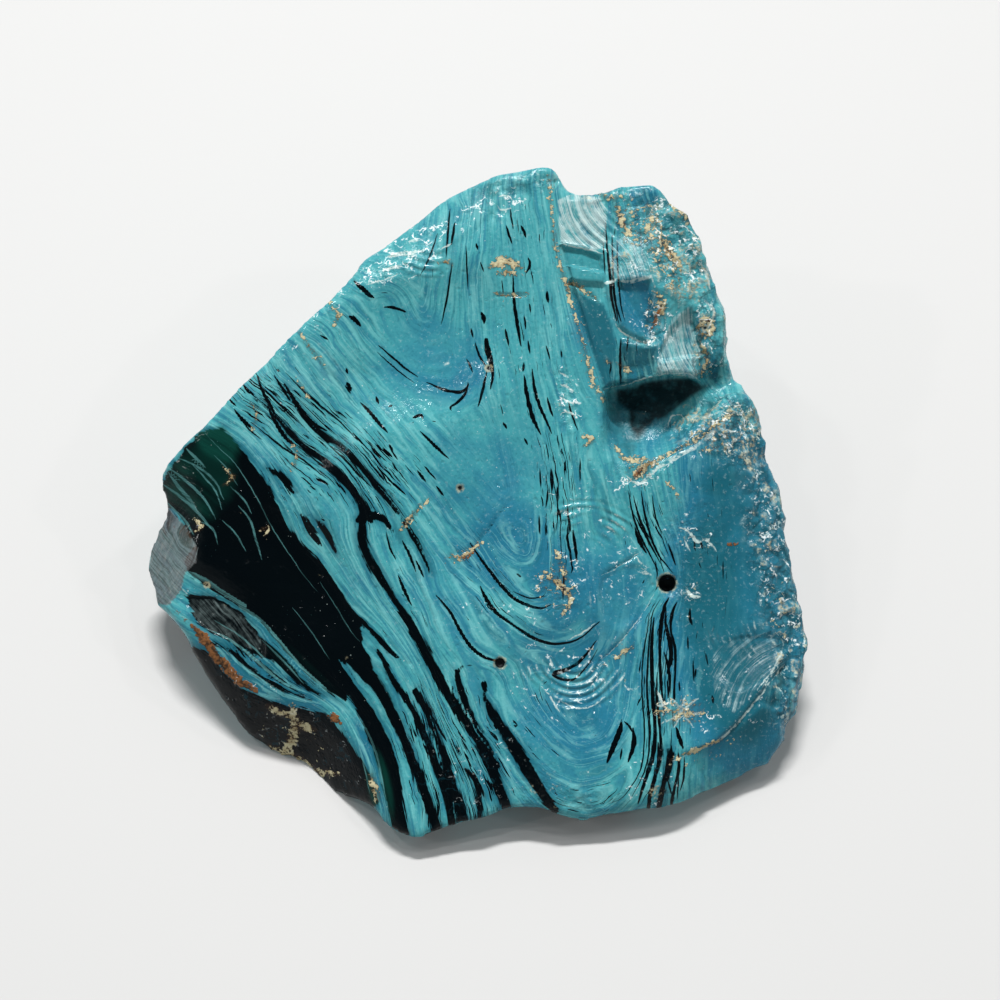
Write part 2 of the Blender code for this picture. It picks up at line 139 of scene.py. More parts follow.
def nearest_on_path(places: Array, path: Array) -> Nearest:
    """Nearest point of a path to each place.

    Args:
        places: Places on the layout grid, one a row.
        path: Points of the path, with its half width as a third column if it has one.

    Returns:
        The distances and widths, one a place.
    """
    start, run = path[:-1, :2], np.diff(path[:, :2], axis=0)
    length = np.linalg.norm(run, axis=1)
    heading = run / length[:, None]
    offset = places[:, None, :] - start[None]
    along = (offset * heading[None]).sum(2)
    inside = np.clip(along, 0.0, length[None])
    aside = offset[..., 1] * heading[None, :, 0] - offset[..., 0] * heading[None, :, 1]
    gap = np.hypot(aside, along - inside)
    best = gap.argmin(1)
    row = np.arange(len(places))
    width = np.zeros(len(places))
    if path.shape[1] > 2:
        part = inside[row, best] / length[best]
        width = path[best, 2] * (1 - part) + path[best + 1, 2] * part
    return Nearest(aside[row, best], np.abs(along - inside)[row, best], width)


def outline_field(places: Array, outline: Sequence[Point]) -> Array:
    """How deep places lie inside a closed outline.

    Args:
        places: On the layout grid.
        outline: Its corners.

    Returns:
        Distance from the outline, negative outside it.
    """
    ring = np.array([*outline, outline[0]], float)
    near = nearest_on_path(places, ring)
    gap = np.hypot(near.aside, near.over)
    inside = np.zeros(len(places), bool)
    for (ax, ay), (bx, by) in zip(ring, ring[1:]):
        spans = (ay > places[:, 1]) != (by > places[:, 1])
        cross = ax + (places[:, 1] - ay) * (bx - ax) / (by - ay if by != ay else 1.0)
        inside ^= spans & (places[:, 0] < cross)
    return np.where(inside, gap, -gap)


# ---- Lines and patches on the layout grid ----
class Taper(Enum):
    """Whether a line's ends run out to a point."""

    NONE = "blunt"
    BOTH = "pointed"


@dataclass(frozen=True)
class Line:
    """Line of one mineral, or a crack, across the face.

    Attributes:
        knots: Points of the path, each with its half width in grid units as a third value, or
            without it where half gives one for the whole line.
        half: Half width of a line whose knots have none.
        taper: Whether such a line's ends run out to a point.
        spacing: Largest distance between two points of its path, in grid units.
        run_out: Share of its length over which an end narrows.
    """

    knots: tuple[tuple[float, ...], ...]
    half: float = 0.0
    taper: Taper = Taper.BOTH
    spacing: float = 3.0
    run_out: float = 0.35

    def path(self) -> Array:
        """Points along the line.

        Returns:
            Rows of place and half width.
        """
        knots = np.array([k if len(k) == 3 else (*k, self.half) for k in self.knots], float)
        points = spline(knots, self.spacing)
        if self.half and self.taper is Taper.BOTH:
            share = path_lengths(points) / path_lengths(points)[-1]
            ends = np.stack([share, 1.0 - share]) / self.run_out
            points[:, 2] *= np.sqrt(np.clip(ends, 0.04, 1.0)).prod(axis=0)
        return points


def lines(text: str) -> tuple[Line, ...]:
    """Lines of one kind.

    Args:
        text: A row for each line: its half width and taper, where it has them, and its knots.
            Rows that begin with a hash only say where the next ones lie.

    Returns:
        The lines, in order.
    """
    made = []
    for row in text.strip().splitlines():
        lead = [word for word in row.split() if "," not in word]
        if not row.startswith("#"):
            half = float(lead[0]) if lead else 0.0
            knots = " ".join(row.split()[len(lead):])
            made.append(Line(trail(knots), half, Taper(lead[1]) if lead[1:] else Taper.BOTH))
    return tuple(made)


@dataclass(frozen=True)
class Spot:
    """Soft oval zone.

    Attributes:
        centre: On the layout grid.
        half: Its half widths before the turn, in grid units.
        turn: Clockwise, in degrees.
        strength: In its middle.
    """

    centre: Point
    half: Point
    turn: float
    strength: float

    def field(self, places: Array) -> Array:
        """Strength of the zone.

        Args:
            places: On the layout grid.

        Returns:
            A number for each, full in the middle and zero past the edge.
        """
        angle = math.radians(self.turn)
        dx, dy = places[:, 0] - self.centre[0], places[:, 1] - self.centre[1]
        along = (dx * math.cos(angle) + dy * math.sin(angle)) / self.half[0]
        across = (dy * math.cos(angle) - dx * math.sin(angle)) / self.half[1]
        return self.strength * (1.0 - smoothstep(0.55, 1.25, np.hypot(along, across)))


def spots(text: str) -> tuple[Spot, ...]:
    """Soft oval zones.

    Args:
        text: Centre, half widths, turn and strength of each, with commas between two.

    Returns:
        The zones, in order.
    """
    rows = [tuple(map(float, row.split())) for row in text.replace("\n", ", ").strip(", ").split(", ")]
    return tuple(Spot(row[:2], row[2:4], *row[4:]) for row in rows)


def sum_of(zones: Sequence[Spot], places: Array, most: float = 1.0) -> Array:
    """Sum of soft zones at each place, up to the most that is given."""
    return np.clip(sum(zone.field(places) for zone in zones), 0.0, most)


def line_field(wide: Sequence[Line], places: Array, reach: float) -> Array:
    """How far inside the nearest of some wide lines places are.

    Args:
        wide: The lines.
        places: On the layout grid.
        reach: Distance past which it is no longer worked out.

    Returns:
        Grid units at each place, negative outside the lines.
    """
    best = np.full(len(places), -reach)
    for line in wide:
        path = line.path()
        close = close_to(path, places, reach)
        near = nearest_on_path(places[close], path)
        best[close] = np.maximum(best[close], near.width - np.hypot(near.aside, near.over))
    return best


# ---- The layout grid ----
@dataclass(frozen=True)
class Layout:
    """Studio camera's place, and the grid and face coordinates that follow from it.

    Attributes:
        target: Point in the middle of the frame, in metres.
        distance: From the target to the camera, in metres.
        elevation: Of the camera above the horizon, in degrees.
        lens: Focal length in millimetres.
        sensor: Width of the film in millimetres.
        grid: Units across the frame.
        tilt: Slope of the broad face in degrees.
        face_centre: The face's centre in millimetres.
    """

    target: Vector = Vector((0.00235, -0.00212, 0.0130))
    distance: float = 0.2125
    elevation: float = 62.0
    lens: float = 85.0
    sensor: float = 36.0
    grid: float = 1000.0
    tilt: float = 20.0
    face_centre: tuple[float, float, float] = (0.10, -2.11, 13.0)

    def back(self) -> Vector:
        """Direction from the target to the camera."""
        angle = math.radians(self.elevation)
        return Vector((0.0, -math.cos(angle), math.sin(angle)))

    def place(self, points: Array) -> Array:
        """Where points show on the grid.

        Args:
            points: In metres, one a row.

        Returns:
            Their grid places, one a row.
        """
        back = np.array(self.back())
        up = np.array((0.0, back[2], -back[1]))
        offset = points - np.array(self.target)
        depth = self.distance - offset @ back
        scale = self.grid * self.lens / self.sensor / depth
        return np.stack([self.grid / 2 + scale * offset[:, 0],
                         self.grid / 2 - scale * (offset @ up)], axis=1)

    def height(self, points: Array) -> Array:
        """Height above the plane of the broad face.

        Args:
            points: In metres, one a row.

        Returns:
            Millimetres, one a point.
        """
        angle = math.radians(self.tilt)
        offset = points / MM - np.array(self.face_centre)
        return offset[:, 2] * math.cos(angle) - offset[:, 1] * math.sin(angle)

    def facing(self, normals: Array) -> Array:
        """How squarely normals face out of the broad face, from -1 to 1."""
        angle = math.radians(self.tilt)
        return normals[:, 2] * math.cos(angle) - normals[:, 1] * math.sin(angle)


# ---- Flow of the bands ----
@dataclass(frozen=True)
class Streamline:
    """One line of the flow.

    Attributes:
        across: Its distance across the flow from the innermost fold, in grid units.
        knots: Its path, from the upper left round the fold and up the right.
        anchor: Index of a knot and the distance along the flow that it stands for.
    """

    across: float
    knots: tuple[Point, ...]
    anchor: tuple[int, float]


FLOW_LINES = (
    Streamline(0, trail("395,305 408,328 430,338 446,322 452,285 458,240 462,212"), (2, 0)),
    Streamline(28, trail("348,316 377,350 405,375 430,386 452,388 468,376 471,340 470,290 474,245 480,205 "
        "484,185"), (4, 0)),
    Streamline(48, trail("338,345 368,378 395,405 425,432 455,460 478,485 500,505 515,505 518,480 508,430 "
        "500,390 494,350 492,300 493,240 496,190"), (7, 0)),
    Streamline(66, trail("322,345 345,375 372,410 400,437 430,470 460,505 485,535 505,556 525,566 540,550 "
        "541,500 536,450 527,400 519,345 515,300 511,240 509,190"), (8, 0)),
    Streamline(86, trail("300,360 330,395 360,425 390,455 420,490 450,525 475,550 490,572 500,586 516,600 "
        "540,607 555,598 560,565 560,520 556,480 550,440 542,395 535,345 530,300 526,250 "
        "522,190"), (10, 0)),
    Streamline(106, trail("280,375 310,405 340,430 370,465 400,500 425,530 450,560 470,580 483,592 497,612 "
        "512,624 532,636 556,643 578,637 592,615 590,575 584,530 578,480 572,430 563,380 555,330 550,280 "
        "544,220 540,190"), (12, 0)),
    Streamline(128, trail("268,385 300,412 325,436 348,455 368,477 388,500 406,525 422,555 436,592 450,612 "
        "465,640 482,656 502,668 516,700 540,735 575,757 612,748 632,715 640,670 648,625 664,598 672,575 "
        "662,550 650,515 645,485 640,450 632,420"), (15, 0)),
    Streamline(142, trail("262,392 292,425 318,445 342,466 360,488 378,520 395,562 415,595 430,625 445,652 "
        "457,672 468,700 480,730 500,755 520,785 548,812 590,822 622,808 642,780 648,730 650,670 656,625 "
        "668,600 680,575 676,545 664,515 656,480 650,450"), (16, 0)),
    Streamline(160, trail("240,398 270,420 298,446 325,463 345,482 358,505 363,540 375,567 395,602 412,628 "
        "428,660 445,700 465,735 480,765 497,800 503,830"), (15, -90)),
    Streamline(215, trail("200,425 232,442 258,470 280,505 298,540 318,562 336,588 358,615 382,640 402,664 "
        "418,695 432,740 445,790 452,835"), (13, -140)),
    Streamline(250, trail("170,480 205,500 235,530 262,562 290,597 318,635 345,668 368,700 388,735 402,775 "
        "415,836"), (10, -165)),
    Streamline(295, trail("150,545 187,578 219,596 240,609 260,623 280,646 300,669 325,691 342,702 356,719 "
        "366,736 376,760 384,790 396,836"), (13, -190)),
    Streamline(335, trail("140,590 197,630 223,648 248,680 291,702 325,716 340,745 356,785 "
        "368,815"), (8, -210)),
    Streamline(185, trail("684,800 688,740 690,680 692,600 690,540 688,480 684,430 680,400"), (0, 90)),
    Streamline(235, trail("736,790 738,720 742,640 742,560 736,480 725,420"), (0, 100)),
    Streamline(290, trail("790,720 795,640 792,580 780,510 762,440 745,395"), (0, 150)),
    Streamline(130, trail("600,385 588,340 575,290 566,240 560,195"), (0, 480)),
    Streamline(160, trail("626,385 620,340 613,300 608,250 605,200"), (0, 490)),
    Streamline(215, trail("670,380 668,330 664,280 656,220 650,180"), (0, 500)),
    Streamline(265, trail("718,370 712,310 700,255 685,205"), (0, 500)),
)


@dataclass(frozen=True)
class Flow:
    """Coordinates across and along the flow, blended from its lines.

    Attributes:
        lines: The lines that lead it.
        spacing: Of the samples on a line, in grid units.
        blur: Distance below which samples blend evenly.
        dip: How far the bands shift across for each millimetre below the broad face.
        slant: Their shift along the flow, as a share of the shift across.
        batch: Places worked out at a time.
    """

    lines: tuple[Streamline, ...] = FLOW_LINES
    spacing: float = 9.0
    blur: float = 5.0
    dip: float = 7.0
    slant: float = 0.4
    batch: int = 4000

    def samples(self) -> Array:
        """Points of all the lines.

        Returns:
            Rows of place, heading, distance across and distance along the flow.
        """
        rows = []
        for line in self.lines:
            path = spline(np.array(line.knots, float), self.spacing)
            along = path_lengths(path)
            index, value = line.anchor
            knot = np.array(line.knots[index], float)
            along += value - along[np.linalg.norm(path - knot, axis=1).argmin()]
            heading = np.gradient(path, axis=0)
            heading /= np.linalg.norm(heading, axis=1)[:, None]
            across = np.full(len(path), line.across)
            rows.append(np.column_stack([path, heading, across, along]))
        return np.vstack(rows)

    def at(self, places: Array, below: Array) -> tuple[Array, Array]:
        """Flow coordinates.

        Args:
            places: On the layout grid.
            below: Millimetres below the broad face, zero on the face itself.

        Returns:
            Distance across and along the flow, in grid units.
        """
        samples = self.samples()
        across, along = np.zeros(len(places)), np.zeros(len(places))
        for first in range(0, len(places), self.batch):
            part = slice(first, first + self.batch)
            dx = places[part, 0, None] - samples[None, :, 0]
            dy = places[part, 1, None] - samples[None, :, 1]
            weight = (dx * dx + dy * dy + self.blur ** 2) ** -2.0
            weight /= weight.sum(1, keepdims=True)
            hx, hy = samples[:, 2], samples[:, 3]
            across[part] = (weight * (samples[:, 4] + dy * hx - dx * hy)).sum(1)
            along[part] = (weight * (samples[:, 5] + dx * hx + dy * hy)).sum(1)
        return across + self.dip * below, along + self.slant * self.dip * below


# ---- Black, pale and rusty markings ----
BLACK_LINES = lines("""
# hollow and its right side
0.8 377,352 390,364 405,376 415,383
1.5 468,381 466,392 458,402 450,407 452,411
486,340,3.2 488,352,4.4 491,362,3.4 493,372,1.6 492,382,1.2 490,390,0.4
1.5 487,370 484,385 480,400 478,408
1.3 475,342 478,353 483,362 487,367
513,275,0.6 514,300,1.6 517,322,2.2 521,347,0.6
1.9 532,368 534,385 538,402 545,418 552,434
2.6 524,375 527,395 533,418 541,435
1.5 547,397 550,408 553,417
1.4 505,328 507,338 509,346
2.2 547,291 548,303
1.5 528,257 530,264 526,274
1.0 510,208 512,222 513,230
1.4 506,225 510,238 512,244
1.7 521,225 524,232 526,238
2.4 481,312 484,318 484,324
1.4 455,222 453,235 451,246
0.9 466,245 467,268 468,290
1.1 452,262 449,285 445,308 441,325
1.3 476,243 478,250
1.0 480,262 484,272
1.2 471,328 473,338
1.0 529,303 531,313
1.1 524,315 526,330
1.3 528,340 530,354
1.4 524,362 523,372
1.0 546,345 550,360
1.1 561,350 562,358
1.1 466,358 470,366 473,373
1.5 503,422 507,429
1.3 524,438 528,445
1.1 568,400 572,415 578,431
# belt
257,375,0.6 262,390,1.8 269,403,2.2 275,414,1.2
274,375,0.5 282,388,1.6 290,400,1.2
284,383,0.5 293,398,2.6 300,409,3.2 312,422,2.2 327,431,0.8
267,404,0.5 275,421,2.4 285,437,2.6 296,446,0.8
234,409,0.5 243,420,2.4 252,428,1.0
1.2 256,426 272,439 285,449 302,459 322,475
1.0 300,448 318,462 334,475 350,492
1.3 318,462 332,472 346,486 356,500
1.2 330,446 345,460 360,476 372,488
1.2 305,420 318,432 332,441
1.8 243,385 250,394
1.4 228,398 236,406
1.0 240,418 250,430 262,440
1.6 346,368 348,374
2.6 347,382 351,391
1.8 376,396 379,404
1.7 371,447 381,458
1.6 389,444 393,452
1.2 392,462 398,472
1.0 380,470 388,484
1.6 417,470 426,482
1.2 424,466 436,480
1.4 436,486 444,496
1.6 402,540 410,556 416,572
1.2 386,532 390,548 396,560
1.8 398,575 405,592 412,606
1.4 416,560 424,578
# hollow, dark arcs
426,382,0.5 445,390,1.6 462,392,1.8 469,384,0.8
354,281,0.8 364,290,3.0 374,298,0.8
384,307,0.5 395,308,1.8 406,312,0.8
349,316,0.8 355,320,3.2 361,326,0.8
378,345,0.5 392,357,1.1 406,369,1.2 418,377,0.5
1.2 450,208 448,232 446,258
0.9 438,232 430,256 420,276
# upper left
1.4 353,315 360,325
1.8 362,290 372,298
1.2 320,335 328,340
1.0 345,385 351,394
2.2 360,402 368,410 378,422 388,433
1.8 420,431 427,438 437,448 449,459
1.5 388,407 393,405
1.8 412,418 421,415 423,419
1.0 411,423 414,422
1.0 432,421 436,422
1.2 372,450 381,459
1.0 390,449 398,460
1.1 285,372 310,397 338,420 358,441
1.2 262,388 280,405 300,424
# folds in the middle
470,543,0.6 478,555,1.2 490,571,2.0 500,584,1.8 515,599,1.8 530,606,1.6 543,608,1.2 552,604,0.4
0.8 512,591 530,598 547,596
480,586,0.6 487,600,2.4 498,614,2.0 512,624,1.5 530,636,1.8 548,643,1.5 565,643,1.2 580,638,0.9 \
600,621,0.6
436,595,0.6 450,612,1.6 462,634,2.0 472,648,2.2 484,657,1.6 498,661,1.2
597,640,0.4 588,652,1.2 578,663,1.6 565,670,2.0 556,673,2.6 554,676,1.6 565,680,1.3 576,678,1.0 \
590,662,0.6 598,648,0.3
622,722,1.0 619,733,3.8 612,750,3.2 607,763,1.0
633,728,0.8 634,744,2.8 628,762,0.8
1.4 624,721 629,726 633,733
1.2 622,748 620,760
1.7 551,468 552,480 552,492
1.2 557,486 558,502
1.1 548,488 546,508
1.1 539,515 540,535
1.0 540,468 541,488
573,530,0.6 575,545,2.2 577,562,0.8
1.1 564,570 563,600
1.0 580,458 580,482
1.5 432,715 440,730 447,742
# bundle over the bubble
1.2 628,490 633,515 640,535 650,555 659,572
1.4 633,495 640,520 648,540 661,564
1.4 641,490 645,515 652,540 660,557 673,573
1.0 652,495 655,515 662,535
635,528,0.6 639,540,2.6 646,553,0.8
1.2 668,543 676,566
# bundle under it
0.9 657,600 650,613 647,632 643,658 642,690 644,720 644,745 641,768 632,785 622,798 608,804
1.2 661,598 653,612 650,632 648,660 647,690 649,720 649,750 645,770 637,787 630,800
654,616,0.5 652,640,2.0 652,665,2.6 653,700,2.2 655,730,2.4 653,755,2.8 648,772,2.4 642,790,1.6 \
638,804,0.8
669,597,0.6 664,608,1.8 661,625,2.2 660,650,1.8 661,680,1.8 663,702,1.0
666,603,0.4 666,625,1.6 670,642,3.4 671,658,3.0 667,674,1.0
677,602,0.5 672,614,1.8 671,630,1.2 675,648,1.6 675,670,1.2 674,700,1.4
664,652,0.5 668,665,1.8 670,682,1.4 668,698,0.5
657,672,0.5 657,700,1.4 660,730,1.6 661,755,1.4
676,727,0.8 679,737,2.6 683,748,1.2
658,742,0.6 659,760,2.4 655,778,2.2 650,795,2.6 648,812,1.8
678,752,0.6 679,768,1.8 675,785,1.4 672,800,1.8 671,812,1.0
1.0 684,756 684,775 680,792
1.7 690,608 690,624
1.0 688,636 688,650
1.2 696,668 695,678
1.0 679,681 680,692
1.3 712,695 713,704
1.3 684,765 684,780
0.9 679,775 677,800
1.0 668,780 672,796
1.0 693,660 694,682
0.9 706,653 708,666
1.2 690,616 692,626
0.7 723,560 723,580
# block
605,215,0.4 607,245,1.0 610,275,1.6 612,300,1.6 617,322,0.6
612,235,0.4 613,270,1.2 615,300,1.3 621,322,0.5
1.0 617,240 618,275 621,305 625,322
0.8 603,240 605,275
1.4 621,338 620,360 621,385
0.9 628,335 627,352
0.9 611,362 610,375
""")

BLACK_BANDS = lines("""
258,400,0.5 275,415,1.8 300,444,3.0 325,461,3.6 345,480,4.2 358,497,3.8 368,514,6.0
359,520,3.6 367,516,6.5 381,518,3.8 392,529,1.6 398,540,0.4
362,520,3.5 362,540,4.6 370,560,4.6 385,585,4.0 398,605,4.0 412,628,4.5 425,650,5.0 438,678,5.2 \
452,702,4.6 468,725,4.5 480,745,5.0 490,765,5.0 500,790,4.6 509,814,4.0
285,385,0.5 300,410,2.0 320,432,3.0 345,450,3.0 365,472,3.2 380,490,3.0 395,508,2.6 405,522,2.0 \
418,545,3.0 430,572,1.0
268,468,1.0 282,478,4.4 294,492,1.2
302,513,1.0 311,530,4.0 321,547,1.0
317,518,1.0 326,532,4.0 336,552,1.0
415,692,3.5 421,700,4.5 428,712,4.0 434,728,3.0 445,760,4.2 452,785,5.0 458,800,5.0 466,828,4.0
472,665,0.6 462,667,1.6 457,677,3.0 463,697,3.8 475,722,2.6 488,745,2.0 500,766,0.6
484,684,2.0 486,700,3.0 497,720,4.6 510,740,6.0 525,765,6.5 540,788,6.0 554,810,4.0
460,767,1.0 472,775,3.0 478,788,3.6 480,805,3.0 480,822,1.5
348,648,9.0 366,671,7.0 385,700,5.0 400,730,5.0 414,765,5.0 428,800,5.0 439,836,5.0
378,650,1.5 392,677,3.0 410,705,3.0 430,748,3.6 445,790,4.2 455,836,4.0
336,666,5.0 352,690,6.0 367,715,8.0 380,742,9.5 388,765,10.0 394,795,9.0 402,838,8.0
232,617,1.0 258,640,3.6 285,666,4.4 306,686,3.0 322,696,1.0
205,640,1.0 228,650,2.2 255,672,2.6 285,690,2.0 312,700,0.6
228,640,0.8 250,656,1.8 272,674,2.0 296,690,0.8
""")

BLACK_OUTLINES = (
    trail("200,432 222,428 245,452 270,487 287,525 318,560 357,612 382,638 403,661 388,654 372,636 360,623 "
        "364,645 375,668 365,684 352,668 340,659 345,674 352,692 345,701 325,690 300,668 280,645 260,622 "
        "240,608 219,595 190,576 184,562 194,545 184,522 172,508 160,512 152,505 166,476 184,450"),
    trail("190,646 206,650 222,670 240,688 258,695 291,708 325,713 345,735 372,775 378,802 370,815 335,800 "
        "285,772 240,735 214,695 198,668"),
    trail("184,594 215,597 242,613 262,640 276,660 262,658 238,646 214,634 198,624"),
    trail("667,748 671,746 675,754 673,768 667,784 664,800 661,812 655,812 657,798 661,784 665,766"),
)

PALE_LINES = lines("""
0.55 205,433 218,447 232,460 245,478 258,500 268,520 280,540 292,558 305,577 318,592
0.5 320,582 335,605 350,630 360,642
0.5 292,607 310,630 330,660
4.0 148,512 170,540 186,572
2.6 blunt 186,572 205,580 225,594 245,606
2.2 blunt 240,606 262,622 282,645 302,668 326,690
1.2 326,690 344,701 360,720 372,742 380,768 386,800
1.4 165,465 185,480 205,500 216,520
1.6 160,482 182,498 200,515 214,532
1.2 178,458 196,466 214,480 224,500
1.8 168,472 178,486 190,500 198,512
1.4 186,448 196,458 206,468
1.5 160,496 172,508 186,522 194,536
0.9 190,462 205,478 216,492 222,510
0.7 214,455 228,470 238,486
0.9 230,486 244,500 252,514
1.0 196,520 212,528 218,545
1.2 238,505 250,520 256,540 262,560
0.9 222,520 236,534 246,552
1.6 205,628 230,640 256,660 282,682 310,694
1.0 214,620 240,636 266,660 290,684
2.4 222,648 250,672 285,695 322,704
1.0 262,640 284,662 304,684
0.9 342,706 356,735 364,765 370,795
0.8 352,722 366,752 374,785 384,818
""")

# Painted highlights: thin white lines standing in for light caught along edges, ridges and cracks.
GLINT_LINES = lines("""
1.0 blunt 614,318 620,330 632,338 645,343 655,341
1.8 blunt 606,283 618,280 630,282 640,279 652,276
1.0 560,244 575,247 590,250 603,254
0.8 603,389 628,384 650,377 675,373 691,374 701,382
1.0 652,276 655,292 652,306
0.8 366,285 380,281 400,273
0.8 440,250 452,243
1.1 786,662 770,682 755,702 735,726 715,743 690,753 672,762
1.0 776,632 783,645 775,666 757,690
0.35 600,576 620,566 640,553
0.45 655,592 642,614 622,640 602,660
2.2 385,258 398,254 412,253 424,250
1.6 378,272 392,268 402,266
1.4 408,242 420,240
1.0 498,197 507,195 513,200
0.9 510,208 502,210 496,205
2.4 625,475 640,484 655,470 680,455 700,444 722,424 738,408
1.6 700,420 712,414 724,410
1.6 704,436 720,430 736,432
0.8 668,428 671,417 680,415 686,421
1.3 680,712 668,708 656,704
1.2 680,712 670,720 661,723
1.2 680,712 676,703 670,697
1.3 680,712 690,704 699,698
1.4 680,712 692,714 704,713
1.1 680,712 688,720 693,727
1.0 680,712 683,702 686,695
1.1 680,712 678,721 673,729
1.2 640,686 630,690 624,685
1.8 657,690 661,700 664,708
1.0 648,568 640,562 634,552
1.2 652,575 642,572 636,570
0.8 560,700 575,708 592,706 606,696
0.9 545,690 552,700 560,712
0.9 568,640 584,632 596,622
1.2 560,372 566,376 572,380
1.2 560,384 567,387 574,392
1.2 562,398 568,401 575,404
1.2 563,410 570,413 577,417
1.6 678,527 690,533 697,542 707,540 717,552
1.0 684,540 690,552
1.8 686,589 693,596 701,597
1.4 700,262 706,274 710,290
1.4 704,300 714,310 712,322
""")

CRUST_LINES = lines("""
548,177,1.6 551,203,1.3 554,240,1.3 560,265,1.6 566,284,2.6 572,303,1.0 579,331,1.0 585,350,2.0 \
589,370,2.0 596,388,1.4 604,400,1.0
566,284,2.4 576,285,2.0 590,295,1.5 598,301,0.8
488,268,1.0 500,262,4.6 512,263,5.0 521,268,1.4
496,274,0.8 508,272,3.4 518,275,0.8
495,293,0.8 510,296,2.0 527,294,0.8
440,262,0.6 447,261,2.0 453,266,0.6
330,303,1.0 338,315,2.0 333,326,0.8
300,333,0.6 313,352,1.5 325,368,0.6
298,380,0.6 308,396,1.5
251,403,0.8 257,415,1.6 252,430,0.8
290,440,0.6 296,455,2.0 292,470,0.8
224,468,0.6 232,477,2.2 224,486,0.8
196,520,0.6 201,526,2.0 195,532,0.6
260,530,0.6 268,528,1.3 266,536,0.5
401,530,1.8 410,519,2.8 420,508,1.0 430,499,0.6
448,556,1.6 460,558,3.2 472,550,2.6 482,542,0.8
545,572,2.0 560,585,4.0 571,600,3.0 562,614,1.0
556,552,1.0 562,566,2.4 566,580,1.6
581,436,1.0 592,440,2.8 584,446,0.8
633,480,1.6 640,471,5.0 650,464,4.4 658,460,1.4
616,447,1.4 625,459,2.8 640,459,2.0 655,461,2.0 680,448,1.8 700,438,2.0 715,425,2.6 732,414,1.6
700,451,1.0 712,449,1.4 722,444,0.8
2.0 652,712 668,711 682,712
1.6 672,703 680,708 690,712
2.0 700,703 688,709 678,715
1.8 704,714 692,713 680,712
2.0 671,724 676,717 684,710
1.6 692,722 686,716 680,710
1.4 662,702 668,708 674,713
672,760,1.0 690,752,2.0 715,742,1.6 722,738,0.6
617,206,2.0 622,220,4.2 627,233,1.4
598,194,1.2 612,198,2.6 622,196,1.0
658,236,1.6 668,250,5.0 677,262,4.0 680,270,1.2
670,204,1.4 682,212,3.0 688,224,1.2
654,288,1.6 662,305,4.0 658,325,1.6
700,343,1.0 707,360,3.0 700,374,1.2
604,362,0.6 608,362,2.0 611,364,0.5
618,364,0.6 625,368,2.4 632,372,0.8
292,706,2.0 295,724,4.4 292,740,5.0 285,753,3.6
294,723,3.0 304,726,4.2 314,730,1.6
268,706,1.6 278,712,3.0 290,716,2.4
268,746,1.6 280,752,3.4 296,756,2.6 314,770,3.0 338,774,1.2
370,776,1.4 375,788,3.6 378,800,1.6
699,328,3.0 702,322,3.2 708,321,3.2 712,327,3.2 710,334,3.2 703,335,3.0 699,329,3.0
616,658,0.8 625,652,2.4 634,645,0.8
668,482,0.4 676,492,1.0 680,502,0.4
""")

RUST_LINES = lines("""
176,612,1.0 190,624,2.0 202,637,4.6 212,650,5.4 222,663,5.0 234,676,5.0 246,686,4.0 258,692,1.4
325,713,1.4 335,719,4.6 342,723,1.6
726,545,1.0 732,544,2.6 738,543,0.8
634,477,0.4 639,470,1.0 645,465,0.4
660,308,1.0 655,322,2.0 652,330,0.8
452,556,0.8 466,557,2.0 474,551,0.8
""")

# ---- Zones ----
STREAK_ZONES = spots("""
330 445 120 44 45 0.62, 300 500 70 26 52 0.40, 250 400 50 30 45 0.35, 400 460 50 30 45 0.30
455 760 66 100 -22 0.72, 400 600 60 30 60 0.30, 528 300 30 120 -6 0.34, 556 500 22 90 -3 0.62
650 530 24 60 -14 0.55, 658 700 22 120 0 0.66, 702 560 26 170 0 0.22, 500 600 70 45 40 0.40
180 500 30 60 30 0.52, 270 665 80 26 35 0.52, 612 270 12 75 -4 0.36, 345 330 50 30 45 0.12
590 800 60 22 0 0.45, 540 730 28 46 -28 0.34, 625 360 26 30 0 0.22, 500 380 20 50 0 0.14
""")
# One spot, at 640 430, deepens the recess as painted shade.
DEEP_ZONES = spots("""
745 600 80 190 0 1.55, 636 305 22 36 -8 0.90, 590 350 24 50 -14 0.35, 643 196 16 12 10 0.90
514 552 56 50 0 0.80, 430 355 66 46 20 0.72, 596 640 70 120 0 0.85, 470 480 60 60 45 0.50
640 430 50 40 0 0.50, 700 620 40 110 0 0.45, 708 470 36 26 0 0.45, 440 600 30 60 -28 0.40
712 440 30 20 0 0.35, 560 745 66 52 0 0.60, 330 610 26 50 -40 0.35, 745 755 40 30 0 0.10
255 665 80 26 38 1.70, 172 500 22 40 30 0.90, 372 760 10 60 -14 0.9, 745 690 40 50 0 0.55
""")
CALM_ZONES = spots("""
500 470 70 60 40 0.9, 430 365 64 54 20 0.9, 640 305 34 44 0 1.0, 735 580 70 170 0 1.0
600 590 60 60 0 0.8, 583 268 24 24 0 1.0, 570 700 60 60 0 0.5, 640 420 60 40 0 0.8
740 740 60 50 0 0.7, 680 250 40 60 0 0.8, 520 320 40 110 0 0.50, 420 250 50 40 -30 0.5
593 345 24 54 0 1.0, 330 480 60 40 45 0.3
""")
PALE_ZONES = spots("""
300 390 70 90 45 0.45, 500 200 70 30 -15 0.40, 545 290 22 110 -6 0.35, 330 540 60 22 48 0.45
420 240 60 30 -35 0.25, 585 225 30 26 0 0.45, 720 440 50 24 -30 0.30, 400 600 60 24 58 0.30
""")
GREEN_ZONES = spots("""
214 432 34 20 50 0.95, 205 480 36 50 20 0.55, 300 668 70 14 42 0.30, 380 790 14 46 -10 0.75
160 480 26 36 30 0.35
""")
GREY_FACET = trail("150,522 166,505 184,524 198,548 196,562 184,575 182,590 168,606 154,603 148,576")
